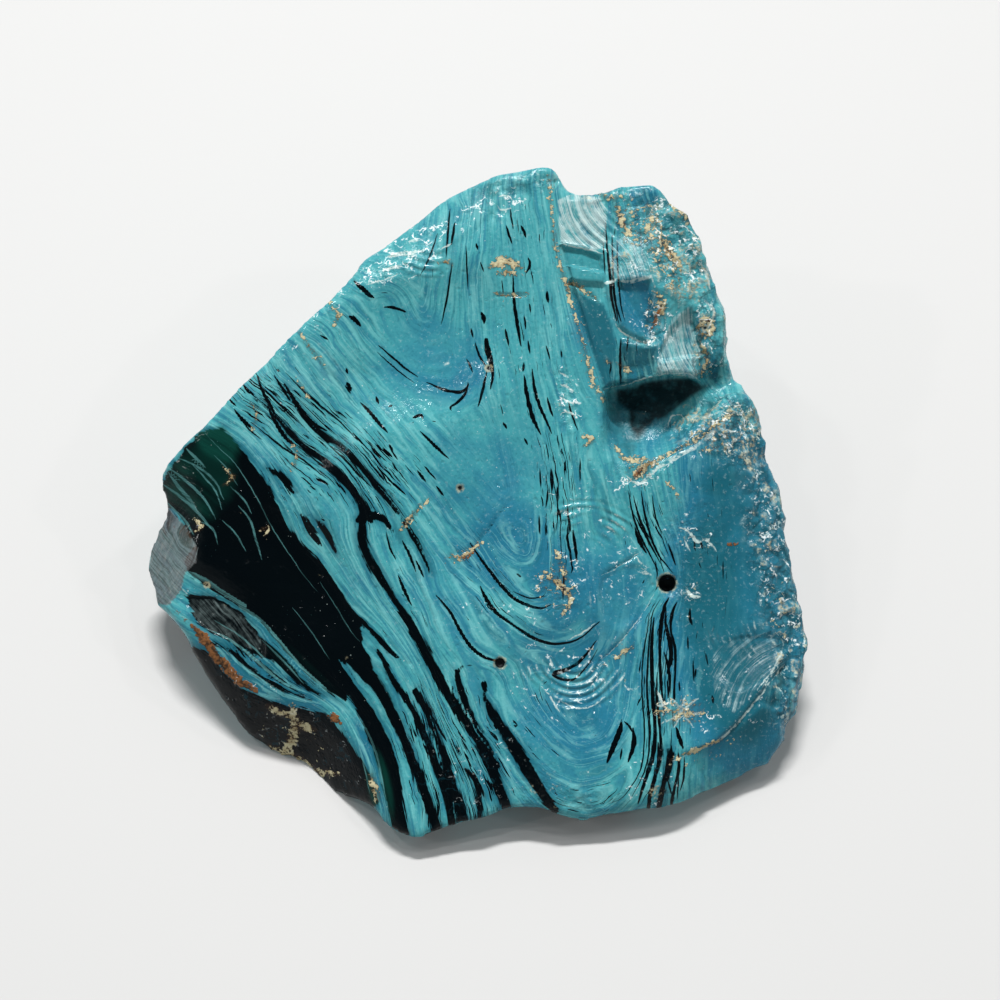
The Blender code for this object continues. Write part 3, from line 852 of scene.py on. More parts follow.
RIND_ZONES = spots("""
778 560 30 120 -10 1.0, 745 430 40 40 -20 1.0, 792 690 22 60 0 1.0, 680 250 36 60 -18 1.0
712 340 22 50 -10 0.9, 600 192 30 12 0 0.8, 635 215 26 26 0 0.8, 520 185 50 12 -8 0.6
700 420 40 18 -30 0.8, 655 320 14 34 10 0.7
""")
CRUST_ZONES = spots("""
640 225 30 34 -20 0.90, 668 262 16 40 -20 0.95, 655 312 14 30 8 0.90, 702 360 14 30 -10 0.80
715 430 44 16 -28 0.85, 556 585 30 34 0 0.78, 640 470 24 12 -20 0.90, 680 712 36 20 0 0.88
615 655 26 16 -30 0.70, 452 556 30 10 -20 0.65, 505 266 26 12 0 0.70, 290 740 60 34 38 0.62
776 600 14 90 -8 0.72, 700 755 60 14 -20 0.68, 576 640 26 8 20 0.60, 585 350 10 60 -12 0.70
""")
# Where the painted glints, white specks standing in for highlights, gather on the face.
GLINT_ZONES = spots("""
405 255 56 24 -32 1.0, 500 205 40 14 -10 0.7, 460 222 40 12 -35 0.6, 320 318 60 12 -45 0.5
634 262 22 20 10 0.9, 680 240 30 60 -20 1.0, 655 330 26 34 10 0.9, 705 340 16 50 -8 0.8
568 400 16 44 -6 0.9, 575 500 40 44 0 0.45, 600 550 50 30 -20 0.55, 640 475 40 14 -20 0.9
725 430 50 24 -28 1.0, 695 535 34 22 30 0.75, 692 592 20 12 0 0.8, 775 560 24 110 -10 0.9
560 600 40 34 0 0.6, 560 690 60 44 0 0.45, 470 760 60 60 -20 0.35, 680 715 44 20 0 0.8
740 690 50 50 -30 0.28, 650 780 30 34 0 0.6, 290 730 90 34 38 0.5, 500 370 26 40 0 0.35
622 590 30 26 0 0.6, 592 662 50 30 -20 0.5, 505 620 60 26 30 0.35
""")
HACKLE_ZONES = spots("""
566 400 12 34 -6 1.0, 628 262 28 18 0 1.0, 560 590 26 30 0 0.8, 575 800 40 16 8 0.7
690 535 34 14 25 0.6, 405 262 40 14 -28 0.8, 540 790 26 30 30 0.7, 690 590 14 10 0 0.8
640 470 30 14 0 0.8, 700 640 16 12 0 0.3, 740 430 40 30 -30 0.8, 650 340 30 8 -8 0.6
290 738 100 38 38 0.14, 660 780 14 36 0 0.8, 690 560 30 80 10 0.35, 660 400 60 44 -10 0.75
680 250 40 60 -15 0.5
""")


@dataclass(frozen=True)
class Pane:
    """Broken pane with a shade and fine ridges of its own.

    Attributes:
        outline: On the layout grid.
        tint: How much paler it is than the stone round it, or darker where it is below zero; paler is
        painted sheen, and darker is partly painted shade of panes facing away from the key light.
        centre: Point that its ridges curve round.
        pitch: Distance between two ridges, in grid units.
        ridges: Strength of the ridges.
    """

    outline: tuple[Point, ...]
    tint: float
    centre: Point = (0.0, 0.0)
    pitch: float = 4.0
    ridges: float = 0.0


# Pane tints: paler is painted sheen; darker is partly painted shade of panes facing away from the key.
PANES = (
    Pane(trail("557,200 572,194 600,197 607,216 605,246 596,250 580,246 "
        "561,243"), 0.80, (640, 186), 3.4, 1.7),
    Pane(trail("559,246 582,249 602,256 605,275 604,292 590,292 572,284 565,266"), -0.22),
    Pane(trail("571,291 590,298 604,304 612,324 617,345 616,386 605,388 592,352 580,318"), -0.70),
    Pane(trail("607,284 650,282 652,300 656,316 654,337 645,341 630,334 617,324 610,302"), -0.14),
    Pane(trail("608,244 626,236 645,252 652,270 650,280 612,281"), 0.40, (560, 300), 3.4, 1.2),
    Pane(trail("620,338 632,340 645,347 657,346 655,374 640,380 618,386"), -0.65),
    Pane(trail("672,318 690,306 700,330 703,352 697,380 672,374 655,376 "
        "660,350"), 0.58, (800, 310), 2.8, 1.4),
    Pane(trail("632,190 652,186 659,197 648,206 634,203"), -0.20),
    Pane(trail("655,206 675,214 682,240 668,233"), -0.30),
    Pane(trail("696,360 710,352 722,364 716,380 700,378"), -0.70),
    Pane(trail("701,326 705,323 710,326 709,332 703,333"), 0.75),
    Pane(trail("713,652 730,640 750,636 776,630 784,645 775,668 755,692 735,714 716,702 "
        "711,676"), 0.20, (806, 722), 3.6, 0.9),
    Pane(GREY_FACET, 0.22, (40, 500), 3.0, 1.2),
    Pane(trail("184,597 214,599 240,612 262,640 264,654 240,646 216,634 "
        "196,622"), 0.22, (60, 760), 6.0, 0.35),
)


@dataclass(frozen=True)
class Bubble:
    """Open bubble in the face.

    Attributes:
        centre: On the layout grid.
        radius: In grid units.
        depth: Of its pit, in millimetres.
    """

    centre: Point
    radius: float
    depth: float

    def inside(self, places: Array) -> Array:
        """How far inside the bubble places on the layout grid lie."""
        return self.radius - np.linalg.norm(places - np.array(self.centre), axis=1)


BUBBLES = (
    Bubble((667, 583), 8.6, 0.60), Bubble((500, 663), 5.2, 0.35), Bubble((705, 328), 1.6, 0.10),
    Bubble((460, 488), 2.6, 0.15), Bubble((207, 585), 1.7, 0.08), Bubble((489, 368), 2.6, 0.12),
)
# Outlines of the painted shade in the recess under the ledge; the gloom is its darkest part.
RECESS_OUTLINE = trail("604,391 625,386 650,380 675,376 692,377 702,384 716,374 712,388 694,398 678,410 "
    "668,424 654,430 644,440 636,458 628,462 614,446 604,430")
GLOOM_OUTLINE = trail("618,390 650,381 690,378 704,386 690,397 676,407 664,416 654,421 645,427 638,436 "
    "631,430 630,410 618,400")


@dataclass(frozen=True)
class Ripples:
    """Set of shell-like ripples round a centre.

    Attributes:
        centre: On the layout grid.
        reach: Smallest and largest radius, in grid units.
        sector: First and last heading in degrees, clockwise from the right.
        spacing: Between two crests, in grid units.
        height: Of a crest, in millimetres.
    """

    centre: Point
    reach: tuple[float, float]
    sector: tuple[float, float]
    spacing: float
    height: float

    def at(self, places: Array, warp: Array | float,
           patchy: Array | float) -> tuple[Array, Array]:
        """Waves at each place.

        Args:
            places: On the layout grid.
            warp: Irregular shift of the crests, in grid units.
            patchy: Share of the full height.

        Returns:
            Phase in turns and height in millimetres.
        """
        dx, dy = places[:, 0] - self.centre[0], places[:, 1] - self.centre[1]
        radius = np.hypot(dx, dy) + warp
        middle = 0.5 * (self.sector[0] + self.sector[1])
        half = 0.5 * (self.sector[1] - self.sector[0])
        off = np.abs((np.degrees(np.arctan2(dy, dx)) - middle + 180) % 360 - 180)
        fade = smoothstep(half + 12, half - 12, off)
        edge = self.spacing
        fade *= smoothstep(self.reach[0] - edge, self.reach[0] + edge, radius)
        fade *= smoothstep(self.reach[1] + edge, self.reach[1] - edge, radius)
        return radius / self.spacing, self.height * fade * patchy


RIPPLES = (
    Ripples((573, 652), (16, 62), (20, 165), 8.4, 0.060),
    Ripples((585, 560), (22, 62), (-125, -35), 8.2, 0.055),
    Ripples((560, 690), (70, 120), (60, 150), 11.0, 0.030),
    Ripples((625, 596), (8, 40), (150, 330), 9.0, 0.020),
    Ripples((640, 190), (36, 84), (120, 178), 7.0, 0.055),
    Ripples((790, 610), (30, 90), (110, 165), 7.5, 0.050),
    Ripples((430, 205), (30, 70), (70, 150), 8.5, 0.040),
    Ripples((505, 203), (3, 26), (0, 359), 9.0, 0.030),
    Ripples((430, 330), (14, 60), (20, 170), 12.0, 0.016),
    Ripples((730, 345), (26, 76), (150, 215), 6.0, 0.035),
    Ripples((225, 560), (38, 84), (140, 230), 5.5, 0.030),
    Ripples((520, 520), (10, 44), (0, 359), 9.0, 0.012),
    Ripples((690, 500), (16, 60), (20, 100), 10.0, 0.020),
)

# ---- Relief ----
@dataclass(frozen=True)
class Facet:
    """Flat break in the surface.

    Attributes:
        outline: On the layout grid.
        slope: Rise per millimetre to the right and up the face, added to the lie of the surface.
        lift: Height of its middle above the surface it replaces, in millimetres.
        flatness: How fully it is flattened.
    """

    outline: tuple[Point, ...]
    slope: Point = (0.0, 0.0)
    lift: float = 0.0
    flatness: float = 1.0


FACETS = (
    # striated, dark, blue and grey faces of the block
    Facet(trail("561,200 600,200 606,222 603,248 580,245 560,241"), (0.10, 0.10), 0.0, 0.9),
    Facet(trail("562,246 582,249 601,256 604,270 604,284 580,283 569,280"), (-0.10, -0.12), -0.22),
    Facet(trail("570,288 590,297 603,300 614,322 620,345 619,384 604,386 592,352 "
        "580,318"), (0.26, 0.05), -0.1, 0.9),
    Facet(trail("607,284 650,281 652,300 656,316 654,337 645,342 630,335 617,325 "
        "610,300"), (-0.12, -0.10), -0.25),
    Facet(trail("622,340 645,346 656,346 655,374 640,380 622,384"), (0.0, 0.25), 0.0, 0.8),
    Facet(trail("672,328 690,308 698,330 703,352 698,376 680,374 660,374 "
        "660,350"), (-0.35, 0.20), 0.1, 0.9),
    Facet(trail("630,188 652,185 660,198 650,206 634,204"), (0.0, 0.15), 0.1),
    Facet(trail("656,210 676,214 680,232 664,238"), (0.1, 0.2), 0.05),
    Facet(trail("608,244 640,248 650,268 648,278 612,279"), (0.05, -0.10), 0.05, 0.6),
    # grey facet and lens at the far left
    Facet(trail("148,524 166,505 184,524 196,550 182,590 166,606 150,580"), (0.10, 0.0), 0.0, 0.7),
    Facet(trail("184,597 214,599 240,612 262,640 262,654 238,645 214,632 "
        "196,620"), (0.08, 0.12), -0.1, 0.8),
    # broad panes on the right
    Facet(trail("690,455 735,462 742,520 715,560 690,535 680,490"), (-0.03, 0.05), 0.0, 0.8),
    Facet(trail("600,578 622,566 640,566 654,586 641,612 618,628 603,618"), (0.02, -0.05), -0.1, 0.9),
    Facet(trail("718,642 745,636 776,642 782,658 768,680 740,692 716,676"), (0.10, 0.16), -0.05, 0.8),
    Facet(trail("690,756 716,746 738,728 760,704 786,712 778,748 752,776 "
        "706,790"), (0.05, 0.10), -0.05, 0.7),
)

CRACKS = lines("""
2.2 blunt 556,182 558,205 560,240 566,262 572,284 580,310 586,331 592,350 598,372 606,392
1.2 566,284 576,285 590,295 600,301
1.4 655,462 680,449 700,439 715,426 732,414
1.6 672,760 690,752 715,742 735,725 755,700 770,680 785,665
0.8 404,530 418,510 430,499
0.7 451,555 475,545 497,517 510,500
0.8 600,575 620,565 640,553
1.0 655,590 642,614 622,640 600,662
0.8 495,296 527,294
""")


@dataclass(frozen=True)
class Step:
    """Step in the surface.

    Attributes:
        line: Its edge, with the lower side on the right.
        drop: Its height in millimetres.
        width: Across its slope, in grid units.
    """

    line: Line
    drop: float
    width: float


STEPS = (
    Step(Line(((440, 252), (458, 240), (480, 223), (498, 205)), 1.0), 0.14, 4.0),
    Step(Line(((182, 594), (214, 597), (240, 610), (262, 636), (264, 655)), 1.0), 0.15, 3.0),
    Step(Line(((786, 662), (770, 682), (755, 702), (735, 726), (715, 743), (690, 753)), 1.0),
         -0.30, 4.0),
)


# ---- Shader maths ----
@dataclass(frozen=True)
class Term:
    """Number of a material, with Python's operators on it.

    Attributes:
        graph: The material's nodes.
        socket: The number's output.
    """

    graph: "Graph"
    socket: bpy.types.NodeSocket

    def math(self, operation: str, *values: "Term | float") -> "Term":
        """Math node on the given values.

        Args:
            operation: Name of the Math node's operation.
            values: Its inputs, in order.

        Returns:
            The node's result.
        """
        node = self.graph.node("ShaderNodeMath", {"operation": operation},
                               dict(enumerate(values)))
        return Term(self.graph, node.outputs[0])

    def __add__(self, other: "Term | float") -> "Term":
        """Sum."""
        return self.math("ADD", self, other)

    __radd__ = __add__

    def __sub__(self, other: "Term | float") -> "Term":
        """Difference."""
        return self.math("SUBTRACT", self, other)

    def __rsub__(self, other: "Term | float") -> "Term":
        """Difference from a number."""
        return self.math("SUBTRACT", other, self)

    def __mul__(self, other: "Term | float") -> "Term":
        """Product."""
        return self.math("MULTIPLY", self, other)

    __rmul__ = __mul__

    def __neg__(self) -> "Term":
        """Opposite."""
        return self * -1.0

    def __abs__(self) -> "Term":
        """Size without sign."""
        return self.math("ABSOLUTE", self)

    def at_least(self, other: "Term | float") -> "Term":
        """Larger of the two."""
        return self.math("MAXIMUM", self, other)

    def at_most(self, other: "Term | float") -> "Term":
        """Smaller of the two."""
        return self.math("MINIMUM", self, other)

    def cosine(self) -> "Term":
        """Cosine of an angle in radians."""
        return self.math("COSINE", self)

    def step(self, low: "Term | float", high: "Term | float") -> "Term":
        """Soft step.

        Args:
            low: Value at which it begins, at 0.
            high: Value at which it ends, at 1.

        Returns:
            A number between 0 and 1.
        """
        node = self.graph.node("ShaderNodeMapRange", {"interpolation_type": "SMOOTHSTEP"},
                               {"Value": self, "From Min": low, "From Max": high})
        return Term(self.graph, node.outputs[0])


@dataclass(frozen=True)
class Tone:
    """Colour of a material.

    Attributes:
        graph: The material's nodes.
        value: The colour's output, or a plain colour.
    """

    graph: "Graph"
    value: bpy.types.NodeSocket | Colour

    def mix(self, other: "Tone | Colour", amount: Term) -> "Tone":
        """Turn this colour towards another.

        Args:
            other: The other colour.
            amount: How far, from 0 to 1.

        Returns:
            The colour between.
        """
        end = Tone(self.graph, other) if isinstance(other, tuple) else other
        node = self.graph.node("ShaderNodeMix", {"data_type": "RGBA"}, {0: amount, 6: self, 7: end})
        return Tone(self.graph, node.outputs[2])


@dataclass
class Graph:
    """Nodes of one material.

    Attributes:
        tree: Its node tree.
    """

    tree: bpy.types.NodeTree

    def node(self, kind: str, settings: dict, inputs: dict) -> bpy.types.Node:
        """New node.

        Args:
            kind: The node's type.
            settings: Its properties, set first.
            inputs: Values, terms or tones by socket name or index.

        Returns:
            The node.
        """
        made = self.tree.nodes.new(kind)
        for name, value in settings.items():
            setattr(made, name, value)
        for key, value in inputs.items():
            socket = made.inputs[key]
            if isinstance(value, Term):
                self.tree.links.new(value.socket, socket)
            elif isinstance(value, Tone) and isinstance(value.value, tuple):
                socket.default_value = (*value.value, 1.0)
            elif isinstance(value, Tone):
                self.tree.links.new(value.value, socket)
            elif isinstance(value, bpy.types.NodeSocket):
                self.tree.links.new(value, socket)
            else:
                socket.default_value = value
        return made

    def columns(self, name: str) -> tuple[Term, Term, Term]:
        """Numbers kept on the mesh.

        Args:
            name: Of the attribute.

        Returns:
            Its three columns.
        """
        read = self.node("ShaderNodeAttribute", {"attribute_name": name}, {})
        split = self.node("ShaderNodeSeparateXYZ", {}, {0: read.outputs["Vector"]})
        return tuple(Term(self, output) for output in split.outputs)

    def tone(self, colour: Colour) -> Tone:
        """Plain colour."""
        return Tone(self, colour)

    def combine(self, *values: Term | float) -> bpy.types.NodeSocket:
        """Vector of three numbers."""
        return self.node("ShaderNodeCombineXYZ", {}, dict(enumerate(values))).outputs[0]

    def noise(self, place: bpy.types.NodeSocket, scale: float = 1.0, detail: float = 1.0,
              harshness: float = 0.5) -> Term:
        """Smooth noise about one half.

        Args:
            place: Where it is read.
            scale: Features to the unit.
            detail: Octaves beyond the first.
            harshness: Strength of each octave against the one before.

        Returns:
            A number between 0 and 1.
        """
        made = self.node("ShaderNodeTexNoise", {},
                         {"Vector": place, "Scale": scale, "Detail": detail,
                          "Roughness": harshness})
        return Term(self, made.outputs[0])

    def cells(self, place: bpy.types.NodeSocket, scale: float) -> Term:
        """Distance from the nearest of a scatter of points, so many to the unit of the place."""
        made = self.node("ShaderNodeTexVoronoi", {}, {"Vector": place, "Scale": scale})
        return Term(self, made.outputs["Distance"])


# ---- The stone ----
class Column(Enum):
    """Attributes that the stone's skin carries for its finish."""

    FLOW = "flow"
    BANDS = "bands"
    CRUST = "crust"
    HUE = "hue"
    SKIN = "skin"
    RIPPLE = "ripple"
    PANE = "pane"
    LUMP = "lump"


INK_CHANNELS = 4
PALE_CHANNELS = 2
LINE_REACH = 9.0        # grid units from a thin line within which its distance is kept
LINE_CORE = 3.0         # beyond this distance the kept half width falls away


def line_name(kind: str, index: int) -> str:
    """Name of the attribute that carries a set of thin lines."""
    return f"{kind}_{index}"


def spread(thin: Sequence[Line], channels: int) -> list[list[Array]]:
    """Share lines out among channels so that close neighbours are apart.

    Args:
        thin: The lines.
        channels: How many channels there are.

    Returns:
        The lines' paths, channel by channel.
    """
    shared: list[list[Array]] = [[] for _ in range(channels)]
    for line in thin:
        path = line.path()
        room = []
        for channel in shared:
            gaps = [np.linalg.norm(path[:, None, :2] - other[None, :, :2], axis=2).min()
                    for other in channel]
            room.append(min(gaps, default=math.inf))
        shared[int(np.argmax(room))].append(path)
    return shared


def thin_lines(paths: Sequence[Array], places: Array) -> Array:
    """Nearest of some thin lines to each place.

    Args:
        paths: Points of each line with their half widths.
        places: On the layout grid.

    Returns:
        Rows of the signed distance, the half width there, and a spare column.
    """
    result = np.zeros((len(places), 3))
    result[:, 1] = -LINE_REACH
    gaps = np.full(len(places), np.inf)
    for path in paths:
        close = close_to(path, places, LINE_REACH)
        near = nearest_on_path(places[close], path)
        gap = np.hypot(near.aside, near.over)
        better = gap < gaps[close]
        chosen = close[better]
        gaps[chosen] = gap[better]
        fall = 3.0 * np.maximum(0.0, gap[better] - LINE_CORE) + near.over[better]
        result[chosen, 0] = near.aside[better]
        result[chosen, 1] = np.maximum(near.width[better] - fall, -LINE_REACH)
    return result


@dataclass
class Marks:
    """What the stone's material reads at each point, and where its minerals show.

    Attributes:
        graph: The material's nodes.
        mottle_scale: Features to the metre of the noise that mottles the surface.
        grain_scale: Of the finest noise.
        coarse_scale: Of the noise that breaks up the rind and the glints.
        wander_scale: Of the bends in the flow.
        ripple_scale: Of the frayed sides of its threads.
        patch_scale: Of the broad changes of colour.
    """

    graph: Graph
    mottle_scale: float = 1100.0
    grain_scale: float = 3200.0
    coarse_scale: float = 620.0
    wander_scale: float = 260.0
    ripple_scale: float = 1300.0
    patch_scale: float = 190.0

    def __post_init__(self) -> None:
        """Read the skin's columns, then make the noises and the masks."""
        graph = self.graph
        self.place = graph.node("ShaderNodeTexCoord", {}, {}).outputs["Object"]
        self.across, self.along, self.deep = graph.columns(Column.FLOW.value)
        self.bands, self.calm, self.pit = graph.columns(Column.BANDS.value)
        self.cream, self.rust, self.grey = graph.columns(Column.CRUST.value)
        self.blueness, self.milk, self.green = graph.columns(Column.HUE.value)
        self.density, self.rind, self.hackle = graph.columns(Column.SKIN.value)
        self.phase, self.swell, self.shade = graph.columns(Column.RIPPLE.value)
        self.tint, self.ridge, self.ridged = graph.columns(Column.PANE.value)
        self.gap, self.lustre, self.rugged = graph.columns(Column.LUMP.value)
        self.mottle = graph.noise(self.place, self.mottle_scale, 3.0, 0.65)
        self.grain = graph.noise(self.place, self.grain_scale, 2.0, 0.6)
        self.coarse = graph.noise(self.place, self.coarse_scale, 3.0, 0.6)
        self.wander = graph.noise(self.place, self.wander_scale, 2.0) - 0.5
        self.ripple = graph.noise(self.place, self.ripple_scale, 1.0) - 0.5
        self.patches = graph.noise(self.place, self.patch_scale, 3.0, 0.6) - 0.5
        self.flow = self.across + self.wander * 9.0 + self.ripple * 1.6
        self.threads = self.stream(1.5, 120.0, 7.0, 2.0)
        self.swirls = self.stream(7.0, 170.0, 3.0, 2.0)
        self.fray = self.stream(2.6, 46.0, 41.0) - 0.5
        self.loud = 1.0 - self.calm * 0.92
        self.groove = self.grooves()
        self.thin, self.black = self.inclusions()
        # Where the painted sheen of the grey facets shows.
        self.sheen = (self.grey + self.fray * 4.0).step(-1.0, 1.5)
        self.specks = (self.rind * 0.16 + self.hackle * 0.14 + self.coarse * 0.7
                       + self.mottle * 0.4 - 0.74).step(0.0, 0.08)
        self.crumb = (self.cream + (self.mottle - 0.5) * 13.0
                      + (self.grain - 0.5) * 15.0).step(0.2, 1.5)
        self.rusty = (self.rust + (self.mottle - 0.5) * 12.0
                      + (self.grain - 0.5) * 6.0).step(0.0, 1.4)
        # Painted shade of the recess under the ledge.
        recess_shade = (self.shade + (self.coarse - 0.5) * self.shade * 1.6).step(0.1, 0.9)
        self.recess_shade = recess_shade * (0.98 - self.coarse.step(0.50, 0.70) * 0.22)
        # Painted shade inside the open bubble pits.
        self.hole = (self.pit + (self.grain - 0.5) * 1.5).step(-0.5, 0.8)

    def stream(self, width: float, length: float, shift: float, detail: float = 1.0) -> Term:
        """Noise drawn out along the flow.

        Args:
            width: Of a thread, in grid units.
            length: Of a thread, in grid units.
            shift: Sets it apart from the others.
            detail: Octaves beyond the first.

        Returns:
            A number between 0 and 1.
        """
        at = self.graph.combine(self.flow * (1.0 / width), self.along * (1.0 / length),
                                self.deep + shift)
        return self.graph.noise(at, 1.0, detail)

    def grooves(self) -> Term:
        """Fine ridges of the broken panes, about zero."""
        at = self.graph.combine(self.ridge * 1.7 + self.wander * 3.0, self.along * 0.012,
                                self.ridge * 0.02)
        return (self.graph.noise(at, 1.0, 3.0, 0.7) - 0.5) * 4.0

    def inclusions(self) -> tuple[Term, Term]:
        """Where black glass shows.

        Returns:
            Its small dashes alone, and all of it.
        """
        dashes, needles = self.stream(2.3, 30.0, 21.0), self.stream(1.25, 24.0, 31.0)
        strands, density = self.stream(2.0, 110.0, 71.0), self.density
        dash = dashes.step(0.775 - density * 0.26, 0.795 - density * 0.26)
        needle = needles.step(0.77 - density * 0.21, 0.79 - density * 0.21)
        strand = strands.step(0.80 - density * 0.22, 0.82 - density * 0.22)
        thin = dash.at_least(needle * 0.9).at_least(strand)
        black = (self.bands + self.fray * 7.0 + self.ripple * 3.0).step(-0.7, 0.7)
        for index in range(INK_CHANNELS):
            aside, half, _ = self.graph.columns(line_name("ink", index))
            near = (half * (0.68 + dashes * 0.70) - abs(aside + self.ripple * 1.3))
            black = black.at_least(near.step(-0.35, 0.45))
        return thin, black.at_least(thin)

    def milky_lines(self) -> Term:
        """Pale threads.

        Returns:
            Where they cross the stone.
        """
        lines = None
        for index in range(PALE_CHANNELS):
            aside, half, _ = self.graph.columns(line_name("milk", index))
            near = (half - abs(aside + self.ripple * 1.4)).step(-0.3, 0.5)
            lines = near if lines is None else lines.at_least(near)
        return lines * (0.35 + self.threads.step(0.38, 0.62) * 0.65)


@dataclass(frozen=True)
class StoneFinish:
    """Colours and gloss of the stone, colours in linear light.

    Attributes:
        teal: Light blue-green of the upper left.
        deep: Deeper blue of the right side.
        pale: Milky threads and worn edges, and painted sparkle in the black glass.
        dusk: Dark blue threads, also painted shade on darker panes and beside the glints.
        dark: Glassy black of the inclusions, also painted shade inside the bubble pits.
        green: Dark green where the black thins out.
        grey: Painted sheen of the grey facets at the far left.
        cream: Pale crust.
        tan: Stained crust.
        rust: Iron stain.
        stain: Rust's dark parts.
        chalk_and_glint: Fine crumbs and dust left on the face, and the white of painted glints on edges and
            ripple crests.
        frost_and_sheen: Painted silvery sheen of the ridged panes and painted flashes on the rind, also
            pale grain of the body.
        night: Painted deep shade of the recess and of the rind's seams.
        glare: Painted highlight, the white of glints on the smallest chipped edges.
        shine: Strength of the surface reflection.
        gloss: Roughness of the broken face.
        worn: Extra roughness of the rind.
        earthy: Roughness of the crust.
    """

    teal: Colour = (0.062, 0.330, 0.360)
    deep: Colour = (0.020, 0.165, 0.255)
    pale: Colour = (0.190, 0.535, 0.535)
    dusk: Colour = (0.012, 0.110, 0.150)
    dark: Colour = (0.0012, 0.0028, 0.0038)
    green: Colour = (0.004, 0.045, 0.034)
    grey: Colour = (0.145, 0.150, 0.155)
    cream: Colour = (0.560, 0.500, 0.310)
    tan: Colour = (0.230, 0.160, 0.075)
    rust: Colour = (0.225, 0.092, 0.032)
    stain: Colour = (0.050, 0.025, 0.012)
    chalk_and_glint: Colour = (0.55, 0.66, 0.62)
    frost_and_sheen: Colour = (0.50, 0.66, 0.65)
    night: Colour = (0.002, 0.014, 0.018)
    glare: Colour = (0.86, 0.93, 0.92)
    shine: float = 0.17
    gloss: float = 0.11
    worn: float = 0.06
    earthy: float = 0.75

    def material(self) -> bpy.types.Material:
        """Lay the stone's colours one over another in the order they formed.

        Returns:
            The material.
        """
        made = bpy.data.materials.new("turquoise_flow")
        made.use_nodes = True
        graph = Graph(made.node_tree)
        shader = made.node_tree.nodes["Principled BSDF"]
        shader.inputs["Specular IOR Level"].default_value = self.shine
        marks = Marks(graph)
        colour = self.body(marks)
        for layer in (self.glass, self.breaks, self.rind, self.soil, self.hollows, self.glints):
            colour = layer(marks, colour)
        bump = graph.node("ShaderNodeBump", {},
                          {"Strength": 1.0, "Distance": MM, "Height": self.relief(marks)})
        for name, socket in (("Base Color", colour.value), ("Normal", bump.outputs[0]),
                             ("Roughness", self.roughness(marks).socket)):
            graph.tree.links.new(socket, shader.inputs[name])
        return made

    def body(self, marks: Marks) -> Tone:
        """Blue-green of the stone, with its milky and dark threads.

        Args:
            marks: What the finish reads.

        Returns:
            The colour.
        """
        loud, patches, grain = marks.loud, marks.patches, marks.grain
        broad = marks.stream(26.0, 320.0, 13.0) - 0.5
        blue = (marks.blueness.at_most(1.0) * 0.9 + 0.08 + (marks.swirls - 0.5) * 1.5 * loud
                + broad + patches * 1.6).step(0.0, 1.0)
        milky = (marks.milk * 0.40 + (marks.threads - 0.50) * 2.6 * loud + broad * 0.6
                 + patches * 0.5).step(0.0, 0.8)
        shadowy = (0.50 - marks.stream(3.0, 80.0, 51.0, 2.0)).step(0.0, 0.20)
        dusky = (marks.blueness - 1.0 + patches * 1.2).step(0.0, 1.0)
        veil = marks.stream(6.0, 40.0, 81.0, 3.0)
        colour = marks.graph.tone(self.teal).mix(self.deep, blue)
        colour = colour.mix(self.pale, milky * 0.70)
        colour = colour.mix(self.dusk, shadowy * loud * 0.5)
        # Darker on panes of negative tint: partly painted shade of panes facing away from the key light.
        colour = colour.mix(self.dusk, dusky.at_least((-marks.tint).step(0.0, 0.9)))
        colour = colour.mix(self.dusk, (0.48 - grain).step(0.0, 0.2) * 0.30)
        colour = colour.mix(self.frost_and_sheen, (grain - 0.56).step(0.0, 0.2) * 0.18)
        colour = colour.mix(self.pale, (veil - 0.50).step(0.0, 0.16) * 0.50 * loud)
        return colour.mix(self.deep, (0.49 - veil).step(0.0, 0.16) * 0.60 * loud)

    def glass(self, marks: Marks, colour: Tone) -> Tone:
        """Add the black glass, its green and dusky edging and the pale threads across it.

        Args:
            marks: What the finish reads.
            colour: What lies below.

        Returns:
            The new colour.
        """
        edging = (marks.bands + marks.fray * 6.0).step(-4.5, 0.5) * marks.green
        halo = (marks.bands + marks.fray * 9.0).step(-9.0, 0.5)
        depth = (marks.green * (0.2 + marks.swirls * 1.1)).step(0.1, 0.9)
        colour = colour.mix(self.green, edging * 0.8)
        colour = colour.mix(self.dusk, halo * marks.swirls.step(0.35, 0.6) * 0.75)
        colour = colour.mix(marks.graph.tone(self.dark).mix(self.green, depth), marks.black)
        return colour.mix(self.pale, marks.milky_lines() * (0.55 - marks.black * 0.22))

    def breaks(self, marks: Marks, colour: Tone) -> Tone:
        """Add painted sheen on ridged panes and grey facets, and painted glints on edges and crests.

        Args:
            marks: What the finish reads.
            colour: What lies below.

        Returns:
            The new colour.
        """
        graph, mottle, grain = marks.graph, marks.mottle, marks.grain
        # Painted sheen: silvery light on the ridged panes of positive tint.
        frost_and_sheen = (marks.tint + marks.groove * marks.ridged * 0.55
                 + (mottle - 0.5) * 1.2 * marks.ridged).step(0.1, 1.0)
        colour = colour.mix(self.frost_and_sheen, frost_and_sheen * marks.tint.step(0.0, 0.1) * 0.85)
        # Painted highlight along the glint lines.
        aside, half, _ = graph.columns(line_name("edge", 0))
        lit = (half - abs(aside + marks.ripple * 3.0 + (grain - 0.5) * 2.5)).step(-0.4, 0.6)
        lit = lit * (mottle + grain * 0.5).step(0.60, 0.78)
        colour = colour.mix(self.chalk_and_glint, lit * 0.85)
        # Painted highlight: white glints on the ripple crests.
        crest = ((marks.phase + 0.18) * (2.0 * math.pi)).cosine().step(0.45, 0.95)
        crest = crest * (marks.swell - 0.10 + marks.coarse * 0.17).step(0.012, 0.042)
        crest = crest * (mottle + grain * 0.5).step(0.66, 0.90)
        colour = colour.mix(self.chalk_and_glint, crest * 0.85)
